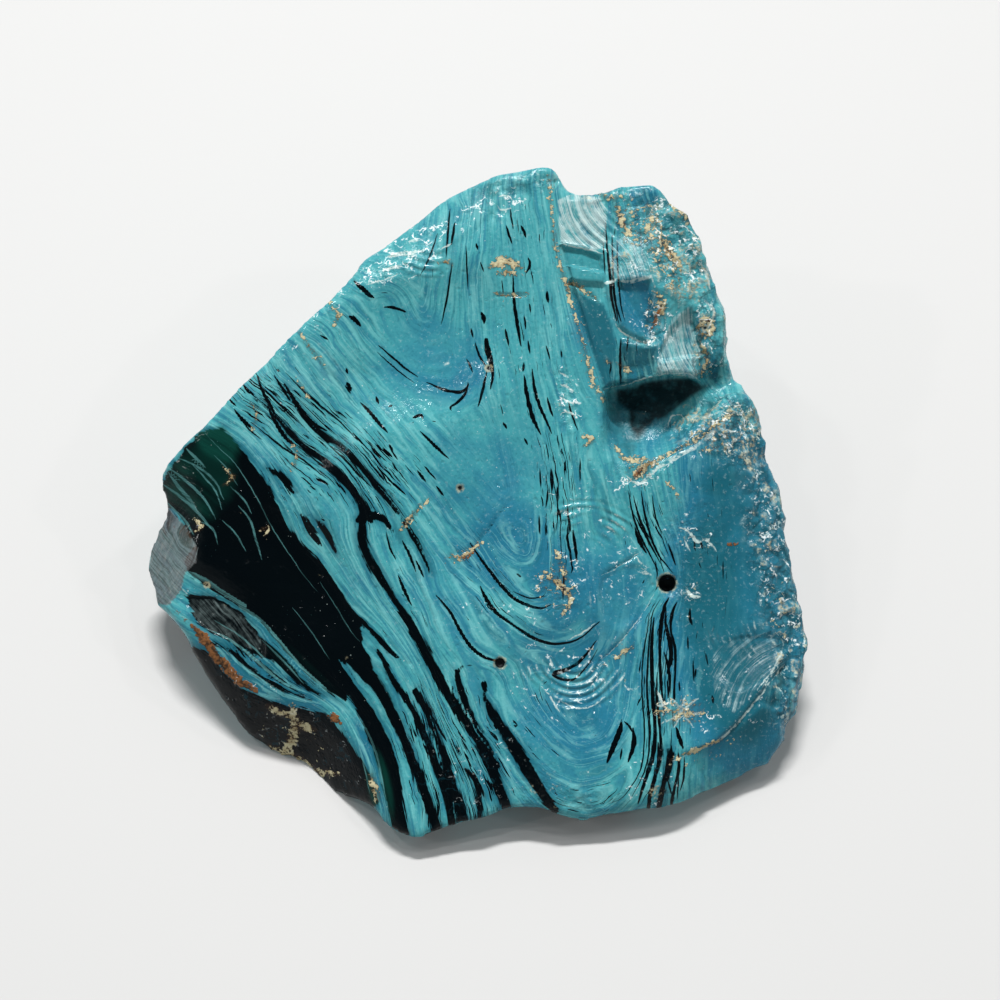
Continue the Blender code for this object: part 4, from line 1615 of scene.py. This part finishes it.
        # Painted sheen of the grey facets, with fine striae.
        striae = marks.stream(1.0, 60.0, 61.0).step(0.45, 0.7)
        return colour.mix(graph.tone(self.grey).mix(self.stain, striae), marks.sheen * 0.8)

    def rind(self, marks: Marks, colour: Tone) -> Tone:
        """Add the crumbly rind's bright crumbs, painted shade in its seams and painted flashes of
        highlight.

        Args:
            marks: What the finish reads.
            colour: What lies below.

        Returns:
            The new colour.
        """
        coarse, mottle, grain, rind = marks.coarse, marks.mottle, marks.grain, marks.rind
        crumbs = (coarse - 0.52).step(0.0, 0.12) * mottle.step(0.4, 0.6)
        # Painted shade in the seams between the rind's lumps.
        seam = marks.rugged * (0.55 - marks.gap + (mottle - 0.5) * 0.8).step(0.0, 0.5)
        # Painted highlight: flashes of light on the rind's lumps.
        flash = ((grain - 0.5) * 1.1 + (mottle - 0.5) * 1.4).step(0.17, 0.29)
        colour = colour.mix(self.chalk_and_glint, rind * crumbs * 0.4)
        colour = colour.mix(self.dusk, rind * (0.48 - coarse).step(0.0, 0.14) * 0.75)
        colour = colour.mix(self.night, seam * 0.5)
        return colour.mix(self.frost_and_sheen, rind * flash * 0.65)

    def earth(self, marks: Marks) -> Tone:
        """Cream and tan crust with dark stains.

        Args:
            marks: What the finish reads.

        Returns:
            The colour.
        """
        mottle, grain, coarse = marks.mottle, marks.grain, marks.coarse
        crust = marks.graph.tone(self.tan).mix(self.cream, mottle.step(0.36, 0.62))
        return marks.graph.tone(self.stain).mix(crust, (grain + coarse * 0.5).step(0.60, 0.74))

    def soil(self, marks: Marks, colour: Tone) -> Tone:
        """Add specks and lines of crust, and the rust.

        Args:
            marks: What the finish reads.
            colour: What lies below.

        Returns:
            The new colour.
        """
        mottle, grain, earth = marks.mottle, marks.grain, self.earth(marks)
        # Darkens the crust lines and a margin round them.
        crust_surround = (marks.cream + (grain - 0.5) * 9.0).step(-2.2, 1.0)
        iron = marks.graph.tone(self.stain).mix(self.rust,
                                                (mottle * 0.6 + grain * 0.4).step(0.44, 0.58))
        colour = colour.mix(earth, marks.specks * grain.step(0.45, 0.6) * 0.6)
        colour = colour.mix(self.stain, crust_surround * 0.4)
        return colour.mix(earth, marks.crumb).mix(iron, marks.rusty)

    def hollows(self, marks: Marks, colour: Tone) -> Tone:
        """Paint shade into the recess, and into the bubbles inside their earthy rims.

        Args:
            marks: What the finish reads.
            colour: What lies below.

        Returns:
            The new colour.
        """
        rim = (marks.pit + (marks.grain - 0.5) * 3.0).step(-3.0, -0.5)
        # Painted shade in the recess.
        colour = colour.mix(self.night, marks.recess_shade)
        # Painted shade darkens the bubble pits inside their earthy rims.
        return colour.mix(self.earth(marks), rim * 0.6).mix(self.dark, marks.hole)

    def glints(self, marks: Marks, colour: Tone) -> Tone:
        """Add painted glints with painted shade beside them, painted sparkle in the black, and dust.

        Args:
            marks: What the finish reads.
            colour: What lies below.

        Returns:
            The new colour.
        """
        coarse, mottle, grain, lustre = marks.coarse, marks.mottle, marks.grain, marks.lustre
        ridges = abs(coarse + (grain - 0.5) * 0.10 - 0.5)
        flecks = (mottle + grain * 0.35 + lustre * 0.17).step(0.80, 0.94)
        # Painted highlight: white glints standing in for light caught by chipped edges.
        glint = (0.022 + lustre * 0.012 - ridges).step(0.0, 0.026) * flecks * lustre.step(0.0, 0.3)
        glint = glint * (1.0 - marks.black * 0.7) * (1.0 - marks.recess_shade)
        # Painted shade: a dark line beside each glint, standing in for the shaded side of a ridge.
        hollow = (0.46 - coarse).step(0.0, 0.05) * (coarse - 0.38).step(0.0, 0.03)
        dust = coarse * 0.5 + mottle * 0.3 - 0.36 - marks.graph.cells(marks.place, 1500.0)
        # Painted sparkle: pale specks in the black glass standing in for small reflections.
        sparks = marks.patches * 0.60 + 0.02 - marks.graph.cells(marks.place, 2900.0)
        colour = colour.mix(self.dusk, hollow * lustre * mottle.step(0.42, 0.6) * 0.45)
        colour = colour.mix(self.glare, glint * 0.90)
        colour = colour.mix(self.chalk_and_glint, dust.step(0.0, 0.06) * (0.7 - marks.black * 0.45))
        return colour.mix(self.pale, sparks.step(0.0, 0.10) * marks.black * (1.0 - marks.recess_shade)
                          * 0.22)

    def roughness(self, marks: Marks) -> Term:
        """Glossy face, duller rind and grey facets, earthy crust.

        Args:
            marks: What the finish reads.

        Returns:
            The number.
        """
        rough = (self.gloss + marks.rind * self.worn + marks.sheen * 0.16
                 + (marks.mottle - 0.5) * 0.16 + marks.specks * 0.2 + marks.hackle * 0.10
                 + marks.hole * 0.4 + marks.shade * 0.40).at_most(0.6)
        return rough + (self.earthy - rough) * marks.crumb.at_least(marks.rusty)

    def relief(self, marks: Marks) -> Term:
        """Height of what is finer than the skin's mesh, in millimetres.

        Args:
            marks: What the finish reads.

        Returns:
            The number.
        """
        hackle, rind, grain = marks.hackle, marks.rind, marks.grain
        wave = (marks.phase * (2.0 * math.pi)).cosine() * marks.swell
        chips = ((0.22 - marks.graph.cells(marks.place, 800.0)).step(0.0, 0.2)
                 * marks.mottle.step(0.42, 0.55))
        return (wave * 0.5 + (marks.mottle - 0.5) * (0.020 + 0.16 * hackle + 0.17 * rind)
                + (marks.coarse - 0.5) * (0.07 + 0.30 * hackle + 0.22 * rind)
                + (marks.threads - 0.5) * 0.016
                + (grain - 0.5) * (0.006 + 0.06 * hackle + 0.02 * rind) - chips * 0.05
                + marks.groove * marks.ridged * 0.03 - marks.thin * 0.008
                + marks.crumb.at_least(marks.rusty) * (0.02 + grain * 0.08))


def noise_at(points: Array, size: float, seed: float) -> Array:
    """Smooth noise between about -1 and 1.

    Args:
        points: Places in metres, one a row.
        size: Of a feature, in millimetres.
        seed: Shift of the pattern.

    Returns:
        A value for each place.
    """
    scaled = points / (size * MM) + seed
    return np.fromiter((noise.noise(Vector(row)) for row in scaled), float, len(scaled))


def lumps_at(points: Array, size: float, seed: float) -> Array:
    """Distances from the two nearest of scattered centres.

    Args:
        points: Places in metres, one a row.
        size: Usual distance between two centres, in millimetres.
        seed: Shift of the pattern.

    Returns:
        Both distances for each place, in sizes.
    """
    scaled = points / (size * MM) + seed
    return np.array([noise.voronoi(Vector(row))[0][:2] for row in scaled])


def activate(item: bpy.types.Object) -> None:
    """Select one object alone and make it the active one."""
    bpy.ops.object.select_all(action="DESELECT")
    item.select_set(True)
    bpy.context.view_layer.objects.active = item


def apply_modifier(item: bpy.types.Object, kind: str, settings: dict) -> None:
    """Change a mesh by a modifier.

    Args:
        item: Whose mesh it is.
        kind: Of the modifier.
        settings: Its properties.
    """
    activate(item)
    modifier = item.modifiers.new(kind.lower(), kind)
    for name, value in settings.items():
        setattr(modifier, name, value)
    bpy.ops.object.modifier_apply(modifier=modifier.name)


@dataclass(frozen=True)
class Surface:
    """Vertices of the skin.

    Attributes:
        points: Their places in metres.
        normals: Their normals.
        places: Where they lie on the layout grid.
        facing: How squarely they face out of the broad face.
    """

    points: Array
    normals: Array
    places: Array
    facing: Array

    def noise(self, size: float, seed: float) -> Array:
        """Smooth noise at each vertex, with features of a size in millimetres."""
        return noise_at(self.points, size, seed)


def store(piece: bpy.types.Object, name: str, columns: Sequence[Array]) -> None:
    """Keep three numbers a vertex.

    Args:
        piece: The stone.
        name: Of the attribute.
        columns: The numbers.
    """
    made = piece.data.attributes.new(name, "FLOAT_VECTOR", "POINT")
    made.data.foreach_set("vector", np.stack(columns, axis=1).astype(np.float32).ravel())


@dataclass
class Nugget:
    """The stone's fine skin.

    Attributes:
        node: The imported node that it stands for.
        layout: Grid on which its markings are laid out.
        flow: Coordinates of its bands.
        finish: Makes its material.
        skin_cell: Size of a facet of the hidden sides, in metres.
        calm_rounds: Smoothing rounds before and after the face is refined.
        even: Length of the mean normal round a vertex between which smoothing sets in.
        seen_from: How squarely a facet of the face looks out when it is refined.
        tall_ripple: Height in millimetres above which ripples get the finest facets.
        tall_swell: Height in millimetres of the part of them that gets those facets.
        sheer: Dip below the face, in millimetres, past which the side walls begin.
        facet_cut: Most that a flat facet may cut or fill, in millimetres.
        crack_depth: In millimetres.
        rest: Height in millimetres up to which the underside stays as it is.
        hidden: What the numbers of a mark fall by where the face ends.
    """

    node: bpy.types.Object
    layout: Layout = field(default_factory=Layout)
    flow: Flow = field(default_factory=Flow)
    finish: StoneFinish = field(default_factory=StoneFinish)
    skin_cell: float = 0.00050
    calm_rounds: tuple[int, int] = (8, 4)
    even: tuple[float, float] = (0.86, 0.96)
    seen_from: float = 0.3
    tall_ripple: float = 0.033
    tall_swell: float = 0.024
    sheer: float = 3.0
    facet_cut: float = 0.5
    crack_depth: float = 0.26
    rest: float = 0.05
    hidden: float = 12.0

    def build(self) -> bpy.types.Object:
        """Make the stone.

        Returns:
            The finished object.
        """
        piece = bpy.data.objects.new("turquoise_stone", self.node.data.copy())
        bpy.context.scene.collection.objects.link(piece)
        self.weld(piece)
        apply_modifier(piece, "REMESH", {"mode": "VOXEL", "voxel_size": self.skin_cell})
        self.calm(piece, self.calm_rounds[0])
        self.refine(piece, lambda _, normals: self.layout.facing(normals) > self.seen_from)
        self.refine(piece, self.needs_detail)
        self.calm(piece, self.calm_rounds[1])
        self.cut_facets(piece)
        self.shape(piece)
        self.dress(piece)
        return piece

    def weld(self, piece: bpy.types.Object) -> None:
        """Join the loose triangles of the copied node.

        Args:
            piece: The stone.
        """
        activate(piece)
        bpy.ops.object.mode_set(mode="EDIT")
        bpy.ops.mesh.select_all(action="SELECT")
        bpy.ops.mesh.remove_doubles(threshold=1e-6)
        bpy.ops.object.mode_set(mode="OBJECT")

    def refine(self, piece: bpy.types.Object,
               wanted: Callable[[Array, Array], Array]) -> None:
        """Divide each wanted face into four.

        Args:
            piece: The stone.
            wanted: Tells from the faces' centres and normals which to divide.
        """
        mesh = piece.data
        centres = np.zeros(len(mesh.polygons) * 3)
        normals = np.zeros(len(mesh.polygons) * 3)
        mesh.polygons.foreach_get("center", centres)
        mesh.polygons.foreach_get("normal", normals)
        chosen = wanted(centres.reshape(-1, 3), normals.reshape(-1, 3))
        activate(piece)
        bpy.ops.object.mode_set(mode="EDIT")
        bpy.ops.mesh.select_mode(type="FACE")
        bpy.ops.mesh.select_all(action="DESELECT")
        bpy.ops.object.mode_set(mode="OBJECT")
        mesh.polygons.foreach_set("select", chosen)
        bpy.ops.object.mode_set(mode="EDIT")
        bpy.ops.mesh.subdivide(number_cuts=1)
        bpy.ops.object.mode_set(mode="OBJECT")

    def needs_detail(self, centres: Array, normals: Array) -> Array:
        """Which faces lie where ripples, the main crack or the bubbles need the finest facets.

        Args:
            centres: Of the faces, in metres.
            normals: Of the faces.

        Returns:
            Whether each one does.
        """
        places = self.layout.place(centres)
        swell = np.zeros(len(places))
        for ripples in RIPPLES:
            if ripples.height > self.tall_ripple:
                swell = np.maximum(swell, ripples.at(places, 0.0, 1.0)[1])
        fine = (swell > self.tall_swell) | (line_field(CRACKS[:1], places, 9.0) > -2.0)
        for bubble in BUBBLES[:3]:
            fine |= bubble.inside(places) > -3.0
        return fine & (self.layout.facing(normals) > self.seen_from)

    def surface(self, piece: bpy.types.Object) -> Surface:
        """Vertices as they are now.

        Args:
            piece: The stone.

        Returns:
            Their places and normals.
        """
        mesh = piece.data
        points, normals = np.zeros(len(mesh.vertices) * 3), np.zeros(len(mesh.vertices) * 3)
        mesh.vertices.foreach_get("co", points)
        mesh.vertex_normals.foreach_get("vector", normals)
        points, normals = points.reshape(-1, 3), normals.reshape(-1, 3)
        return Surface(points, normals, self.layout.place(points), self.layout.facing(normals))

    def move(self, piece: bpy.types.Object, points: Array) -> None:
        """Set the stone's vertices to places given in metres."""
        piece.data.vertices.foreach_set("co", points.ravel())
        piece.data.update()

    def calm(self, piece: bpy.types.Object, rounds: int) -> None:
        """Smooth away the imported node's facets, but keep its real edges.

        Args:
            piece: The stone.
            rounds: How many times each vertex moves towards its neighbours.
        """
        mean = self.surface(piece).normals
        edges = np.zeros(len(piece.data.edges) * 2, np.int64)
        piece.data.edges.foreach_get("vertices", edges)
        ends = edges.reshape(-1, 2)
        count = np.bincount(edges, minlength=len(mean)) + 1.0
        for _ in range(4):
            total = mean.copy()
            for axis in range(3):
                total[:, axis] += np.bincount(ends[:, 0], mean[ends[:, 1], axis], len(mean))
                total[:, axis] += np.bincount(ends[:, 1], mean[ends[:, 0], axis], len(mean))
            mean = total / count[:, None]
        evenness = smoothstep(*self.even, np.linalg.norm(mean, axis=1))
        group = piece.vertex_groups.new(name="calm")
        for level in range(1, 11):
            chosen = np.flatnonzero(np.round(evenness * 10) == level)
            group.add(chosen.tolist(), level / 10, "REPLACE")
        apply_modifier(piece, "SMOOTH", {"factor": 0.5, "iterations": rounds,
                                         "vertex_group": "calm"})
        piece.vertex_groups.clear()

    def cut_facets(self, piece: bpy.types.Object) -> None:
        """Flatten the broken panes.

        Args:
            piece: The stone.
        """
        skin = self.surface(piece)
        seen = smoothstep(0.0, 0.3, skin.facing)
        angle = math.radians(self.layout.tilt)
        out = np.array((0.0, -math.sin(angle), math.cos(angle)))
        up = np.array((0.0, math.cos(angle), math.sin(angle)))
        for facet in FACETS:
            close = close_to(np.array(facet.outline, float), skin.places, 6.0)
            close = close[seen[close] > 0]
            inside = outline_field(skin.places[close], facet.outline)
            share = facet.flatness * smoothstep(-2.5, 2.5, inside) * seen[close]
            local = skin.points[close] / MM
            grid = np.column_stack([local[:, 0], local @ up, np.ones(len(close))])
            height = local @ out
            core = inside > 0
            lie, *_ = np.linalg.lstsq(grid[core], height[core], rcond=None)
            middle = grid[core].mean(0)
            plane = grid @ lie + facet.lift
            plane += facet.slope[0] * (grid[:, 0] - middle[0])
            plane += facet.slope[1] * (grid[:, 1] - middle[1])
            shift = np.clip(plane - height, -self.facet_cut, self.facet_cut)
            skin.points[close] += out * (share * shift * MM)[:, None]
        self.move(piece, skin.points)

    def ripples(self, skin: Surface) -> list[tuple[Array, Array]]:
        """Uneven ripples of the face.

        Args:
            skin: The vertices.

        Returns:
            Phase in turns and height in millimetres at each vertex, set by set.
        """
        warp = 7.0 * skin.noise(5.5, 71.0) + 1.6 * skin.noise(1.8, 17.0)
        patchy = np.clip(0.45 + 1.5 * skin.noise(2.8, 53.0), 0.0, 1.0)
        return [ripples.at(skin.places, warp, patchy) for ripples in RIPPLES]

    def breaks(self, skin: Surface) -> Array:
        """Ripples, cracks and steps of the face.

        Args:
            skin: The vertices.

        Returns:
            Height at each vertex, in millimetres.
        """
        rise = np.zeros(len(skin.points))
        for phase, height in self.ripples(skin):
            rise += height * np.cos(2 * math.pi * phase)
        for crack in CRACKS:
            inside = line_field((crack,), skin.places, 8.0)
            rise -= self.crack_depth * smoothstep(-1.2, crack.half, inside)
        for step in STEPS:
            path = step.line.path()
            close = close_to(path, skin.places, 30.0)
            near = nearest_on_path(skin.places[close], path)
            fade = smoothstep(26, 2, np.abs(near.aside)) * smoothstep(8, 0, near.over)
            side = smoothstep(-step.width / 2, step.width / 2, near.aside)
            rise[close] -= step.drop * fade * side
        return rise

    def crags(self, skin: Surface) -> tuple[Array, Array]:
        """Lumpy relief of the rind.

        Args:
            skin: The vertices.

        Returns:
            How far each vertex is from a seam, from 0 to 1, and its height in millimetres.
        """
        bend = np.stack([skin.noise(1.4, seed) for seed in (2, 4, 6)], 1)
        bent = skin.points + 0.45 * MM * bend
        lumps = lumps_at(bent, 1.3, 21.0)
        gap = smoothstep(0.0, 0.35, lumps[:, 1] - lumps[:, 0])
        crags = 1.0 - np.abs(noise_at(bent, 2.6, 21.0)) - 0.45 * np.abs(noise_at(bent, 1.1, 5.0))
        return gap, 0.62 * (crags - 0.62) + 0.10 * gap * (1.0 - lumps[:, 0])

    def shape(self, piece: bpy.types.Object) -> None:
        """Pull the skin into ripples, cracks, steps, rind, bubbles and crust.

        Args:
            piece: The stone.
        """
        skin = self.surface(piece)
        seen = smoothstep(0.1, 0.5, skin.facing)
        hidden = 1.0 - smoothstep(-0.1, 0.35, skin.facing)
        rind = sum_of(RIND_ZONES, skin.places) * smoothstep(-0.4, 0.1, skin.normals[:, 2])
        gap, crags = self.crags(skin)
        # The second column is the strength of the painted glints.
        store(piece, Column.LUMP.value, (gap, sum_of(GLINT_ZONES, skin.places) * seen, rind))
        soil = np.maximum(line_field(RUST_LINES, skin.places, 8.0),
                          line_field(CRUST_LINES, skin.places, 8.0))
        face = self.breaks(skin) + sum_of(HACKLE_ZONES, skin.places) * 0.12 * skin.noise(0.7, 33.0)
        for bubble in BUBBLES:
            bowl = np.clip(bubble.inside(skin.places) / bubble.radius, 0.0, 1.0)
            face -= bubble.depth * np.sqrt(np.minimum(1.0, 2.5 * bowl))
        face += smoothstep(-1.5, 1.5, soil) * (0.02 + 0.10 * skin.noise(0.9, 61.0))
        rise = 0.05 * skin.noise(5.0, 3.1) + 0.012 * skin.noise(1.6, 9.7)
        rise += seen * face + rind * crags
        rise += hidden * (0.10 * skin.noise(2.2, 41.0) + 0.05 * skin.noise(0.9, 8.0))
        flat = skin.points[:, 2] < self.rest * MM
        moved = skin.points + skin.normals * (rise * MM)[:, None]
        moved[:, 2] = np.maximum(moved[:, 2], 0.0)
        moved[flat] = skin.points[flat]
        self.move(piece, moved)

    def panes(self, skin: Surface, seen: Array) -> tuple[Array, Array, Array]:
        """Tint and ridges of the broken panes.

        Args:
            skin: The vertices.
            seen: Share to which each belongs to the face.

        Returns:
            Tint, ridge count and ridge strength at each vertex.
        """
        tint, ridge, ridged = (np.zeros(len(skin.places)) for _ in range(3))
        for pane in PANES:
            inside = outline_field(skin.places, pane.outline)
            share = smoothstep(-1.6, 1.6, inside)
            here = inside > -3.0
            gap = np.linalg.norm(skin.places[here] - np.array(pane.centre), axis=1)
            tint += share * pane.tint
            ridge[here] = gap / pane.pitch
            ridged += share * pane.ridges
        return tint * seen, ridge, ridged * seen

    def bands(self, skin: Surface, seen: Array, across: Array) -> Array:
        """Black bands.

        Args:
            skin: The vertices.
            seen: Share to which each belongs to the face.
            across: Distance across the flow, in grid units.

        Returns:
            How far each vertex lies inside the nearest band, in grid units.
        """
        drawn = line_field(BLACK_BANDS, skin.places, 30.0)
        for outline in BLACK_OUTLINES:
            drawn = np.maximum(drawn, outline_field(skin.places, outline))
        inner = 24.0 * np.sin(across / 17.0) + 12.0 * np.sin(across / 7.3 + 1.7) - 18.0
        inner += 20.0 * skin.noise(7.0, 77.0)
        return drawn * seen + inner * (1.0 - seen)

    def minerals(self, skin: Surface, seen: Array) -> dict[str, Sequence[Array]]:
        """Crust, rust, grey facets and the zones of each hue.

        Args:
            skin: The vertices.
            seen: Share to which each belongs to the face.

        Returns:
            Three columns for each attribute.
        """
        places, unseen = skin.places, 1.0 - seen
        crust = np.maximum(line_field(CRUST_LINES, places, 20.0),
                           7.5 * sum_of(CRUST_ZONES, places) - 7.5)
        rust = line_field(RUST_LINES, places, 20.0)
        grey = np.maximum(outline_field(places, GREY_FACET), -20.0)
        fall = self.hidden * unseen
        return {
            Column.CRUST.value: (crust - fall, rust - fall, grey - fall),
            Column.HUE.value: (sum_of(DEEP_ZONES, places, 2.0), sum_of(PALE_ZONES, places),
                               sum_of(GREEN_ZONES, places) * seen + 0.5 * unseen),
            Column.SKIN.value: (sum_of(STREAK_ZONES, places) * seen + 0.45 * unseen,
                                sum_of(RIND_ZONES, places), sum_of(HACKLE_ZONES, places)),
        }

    def hollows(self, skin: Surface, seen: Array) -> tuple[Array, Array]:
        """Painted shade of the recess, and the bubbles.

        Args:
            skin: The vertices.
            seen: Share to which each belongs to the face.

        Returns:
            Painted shade of the recess, and how far each vertex lies inside the nearest bubble.
        """
        recess = 0.42 * smoothstep(-2.0, 6.0, outline_field(skin.places, RECESS_OUTLINE))
        recess += 0.58 * smoothstep(-5.0, 5.0, outline_field(skin.places, GLOOM_OUTLINE))
        pits = np.full(len(skin.points), -20.0)
        for bubble in BUBBLES:
            pits = np.maximum(pits, bubble.inside(skin.places))
        return recess * seen, pits - self.hidden * (1.0 - seen)

    def ripple_marks(self, skin: Surface, seen: Array) -> tuple[Array, Array]:
        """The tallest ripples.

        Args:
            skin: The vertices.
            seen: Share to which each belongs to the face.

        Returns:
            Their phase in turns and height in millimetres at each vertex.
        """
        best = np.zeros((len(skin.points), 2))
        for phase, height in self.ripples(skin):
            taller = height > best[:, 1]
            best[taller] = np.stack([phase, height], axis=1)[taller]
        return best[:, 0], best[:, 1] * seen

    def dress(self, piece: bpy.types.Object) -> None:
        """Store the markings on the skin, and give it its material.

        Args:
            piece: The stone.
        """
        skin = self.surface(piece)
        seen = smoothstep(-0.05, 0.20, np.maximum(skin.facing,
                                                  skin.normals @ np.array(self.layout.back())))
        dip = -self.layout.height(skin.points)
        seen *= 1.0 - smoothstep(14.0, 17.0, skin.points[:, 1] / MM) * smoothstep(7.0, 9.0, dip)
        below = np.maximum(0.0, dip - self.sheer)
        across, along = self.flow.at(skin.places, below * (1.0 - seen) + 0.3 * below * seen)
        # recess holds the painted shade of the recess.
        recess, pits = self.hollows(skin, seen)
        tables = {
            Column.FLOW.value: (across, along, below * 0.4),
            Column.BANDS.value: (self.bands(skin, seen, across),
                                 sum_of(CALM_ZONES, skin.places) * seen, pits),
            Column.PANE.value: self.panes(skin, seen),
            Column.RIPPLE.value: (*self.ripple_marks(skin, seen), recess),
            **self.minerals(skin, seen),
        }
        for kind, drawn, channels in (("ink", BLACK_LINES, INK_CHANNELS),
                                      ("milk", PALE_LINES, PALE_CHANNELS), ("edge", GLINT_LINES, 1)):
            for index, paths in enumerate(spread(drawn, channels)):
                aside, half, spare = thin_lines(paths, skin.places).T
                tables[line_name(kind, index)] = (aside, half - LINE_REACH * (1.0 - seen), spare)
        for name, columns in tables.items():
            store(piece, name, columns)
        piece.data.materials.clear()
        piece.data.materials.append(self.finish.material())
        activate(piece)
        bpy.ops.object.shade_smooth()


# ---- Studio ----
@dataclass(frozen=True)
class Studio:
    """Pale floor, soft light and camera.

    Attributes:
        layout: Gives the camera's place.
        floor_size: Side of the floor, in metres.
        floor_colour: Of the floor, in linear light.
        sky: Brightness and colour of the light from all round.
        ceiling: Colour of the dark ceiling.
        dark_above: Sine of the elevations between which the ceiling begins.
        sky_strength: Strength of both.
        key_place: Where the main light stands.
        key_size: Its width and height, in metres.
        key_power: Its power in watts.
        spark_places: Where the small lights stand that make the gloss glint.
        spark_size: Their side, in metres.
        spark_power: Their power in watts.
        side_places: Where the lights stand that catch steeper slopes.
        side_size: Their side, in metres.
        side_power: Their power in watts.
    """

    layout: Layout = field(default_factory=Layout)
    floor_size: float = 6.0
    floor_colour: tuple[float, float, float] = (0.575, 0.566, 0.556)
    sky: tuple[float, float, float] = (0.88, 0.97, 1.0)
    ceiling: tuple[float, float, float] = (0.05, 0.055, 0.06)
    dark_above: tuple[float, float] = (0.60, 0.90)
    sky_strength: float = 0.46
    key_place: tuple[float, float, float] = (-0.05, 1.05, 1.62)
    key_size: tuple[float, float] = (0.60, 0.12)
    key_power: float = 41.0
    spark_places: tuple[tuple[float, float, float], ...] = (
        (-0.55, 0.25, 1.15), (0.50, 0.30, 1.15), (-0.05, 0.42, 1.25))
    spark_size: float = 0.035
    spark_power: float = 0.7
    side_places: tuple[tuple[float, float, float], ...] = (
        (-1.14, -0.13, 0.97), (1.14, -0.13, 0.97), (-0.80, 0.55, 1.10), (0.80, 0.55, 1.10))
    side_size: float = 0.05
    side_power: float = 1.0

    def build(self) -> None:
        """Make the floor, the lights and the camera."""
        self.lay_floor()
        self.hang_light("key", self.key_place, self.key_size, self.key_power)
        for index, place in enumerate(self.spark_places):
            size = (self.spark_size, self.spark_size)
            self.hang_light(f"spark_{index}", place, size, self.spark_power)
        for index, place in enumerate(self.side_places):
            size = (self.side_size, self.side_size)
            self.hang_light(f"side_{index}", place, size, self.side_power)
        self.light_round()
        self.set_camera()
        bpy.context.scene.view_settings.view_transform = "Standard"

    def lay_floor(self) -> None:
        """Pale matt floor under the stone."""
        bpy.ops.object.select_all(action="DESELECT")
        bpy.ops.mesh.primitive_plane_add(size=self.floor_size, location=(0, 0, 0))
        floor = bpy.context.active_object
        floor.name = "floor"
        finish = bpy.data.materials.new("floor")
        finish.use_nodes = True
        shader = finish.node_tree.nodes["Principled BSDF"]
        shader.inputs["Base Color"].default_value = (*self.floor_colour, 1.0)
        shader.inputs["Roughness"].default_value = 0.6
        floor.data.materials.append(finish)
        floor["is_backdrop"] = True

    def hang_light(self, name: str, place: tuple[float, float, float],
                   size: tuple[float, float], power: float) -> None:
        """Flat light that faces the stone.

        Args:
            name: Of the light.
            place: Where it stands, in metres.
            size: Its width and height, in metres.
            power: In watts.
        """
        lamp = bpy.data.lights.new(name, "AREA")
        lamp.shape = "RECTANGLE"
        lamp.size, lamp.size_y = size
        lamp.energy = power
        holder = bpy.data.objects.new(name, lamp)
        holder.location = place
        holder.rotation_euler = (-Vector(place)).to_track_quat("-Z", "Y").to_euler()
        bpy.context.scene.collection.objects.link(holder)

    def light_round(self) -> None:
        """Even light from all round."""
        world = bpy.data.worlds.new("studio")
        world.use_nodes = True
        graph = Graph(world.node_tree)
        shader = world.node_tree.nodes["Background"]
        heading = graph.node("ShaderNodeTexCoord", {}, {}).outputs["Generated"]
        split = graph.node("ShaderNodeSeparateXYZ", {}, {0: heading})
        overhead = Term(graph, split.outputs[2]).step(*self.dark_above)
        sky = graph.tone(self.sky).mix(graph.tone(self.ceiling), overhead)
        graph.tree.links.new(sky.value, shader.inputs["Color"])
        shader.inputs["Strength"].default_value = self.sky_strength
        bpy.context.scene.world = world

    def set_camera(self) -> None:
        """Camera above the broad face."""
        lens = bpy.data.cameras.new("camera")
        lens.lens = self.layout.lens
        lens.sensor_width = self.layout.sensor
        lens.clip_start = 0.01
        holder = bpy.data.objects.new("camera", lens)
        back = self.layout.back()
        holder.location = self.layout.target + back * self.layout.distance
        holder.rotation_euler = (-back).to_track_quat("-Z", "Y").to_euler()
        bpy.context.scene.collection.objects.link(holder)
        bpy.context.scene.camera = holder


def main() -> None:
    """Build the studio and the stone, and note both boxes."""
    Studio().build()
    stone = Nugget(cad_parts[NODE]).build()
    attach(stone, "root")
    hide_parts(NODE)
    triangles = sum(len(face.vertices) - 2 for face in stone.data.polygons)
    LOG.info("%s: %d triangles", stone.name, triangles)
    boxes = {"cad": CAD_BOX, "visual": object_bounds()}
    for name, box in boxes.items():
        LOG.info("%s box in mm: %s", name,
                 [round((high - low) / MM, 2) for low, high in zip(*box)])


if __name__ == "__main__":
    main()
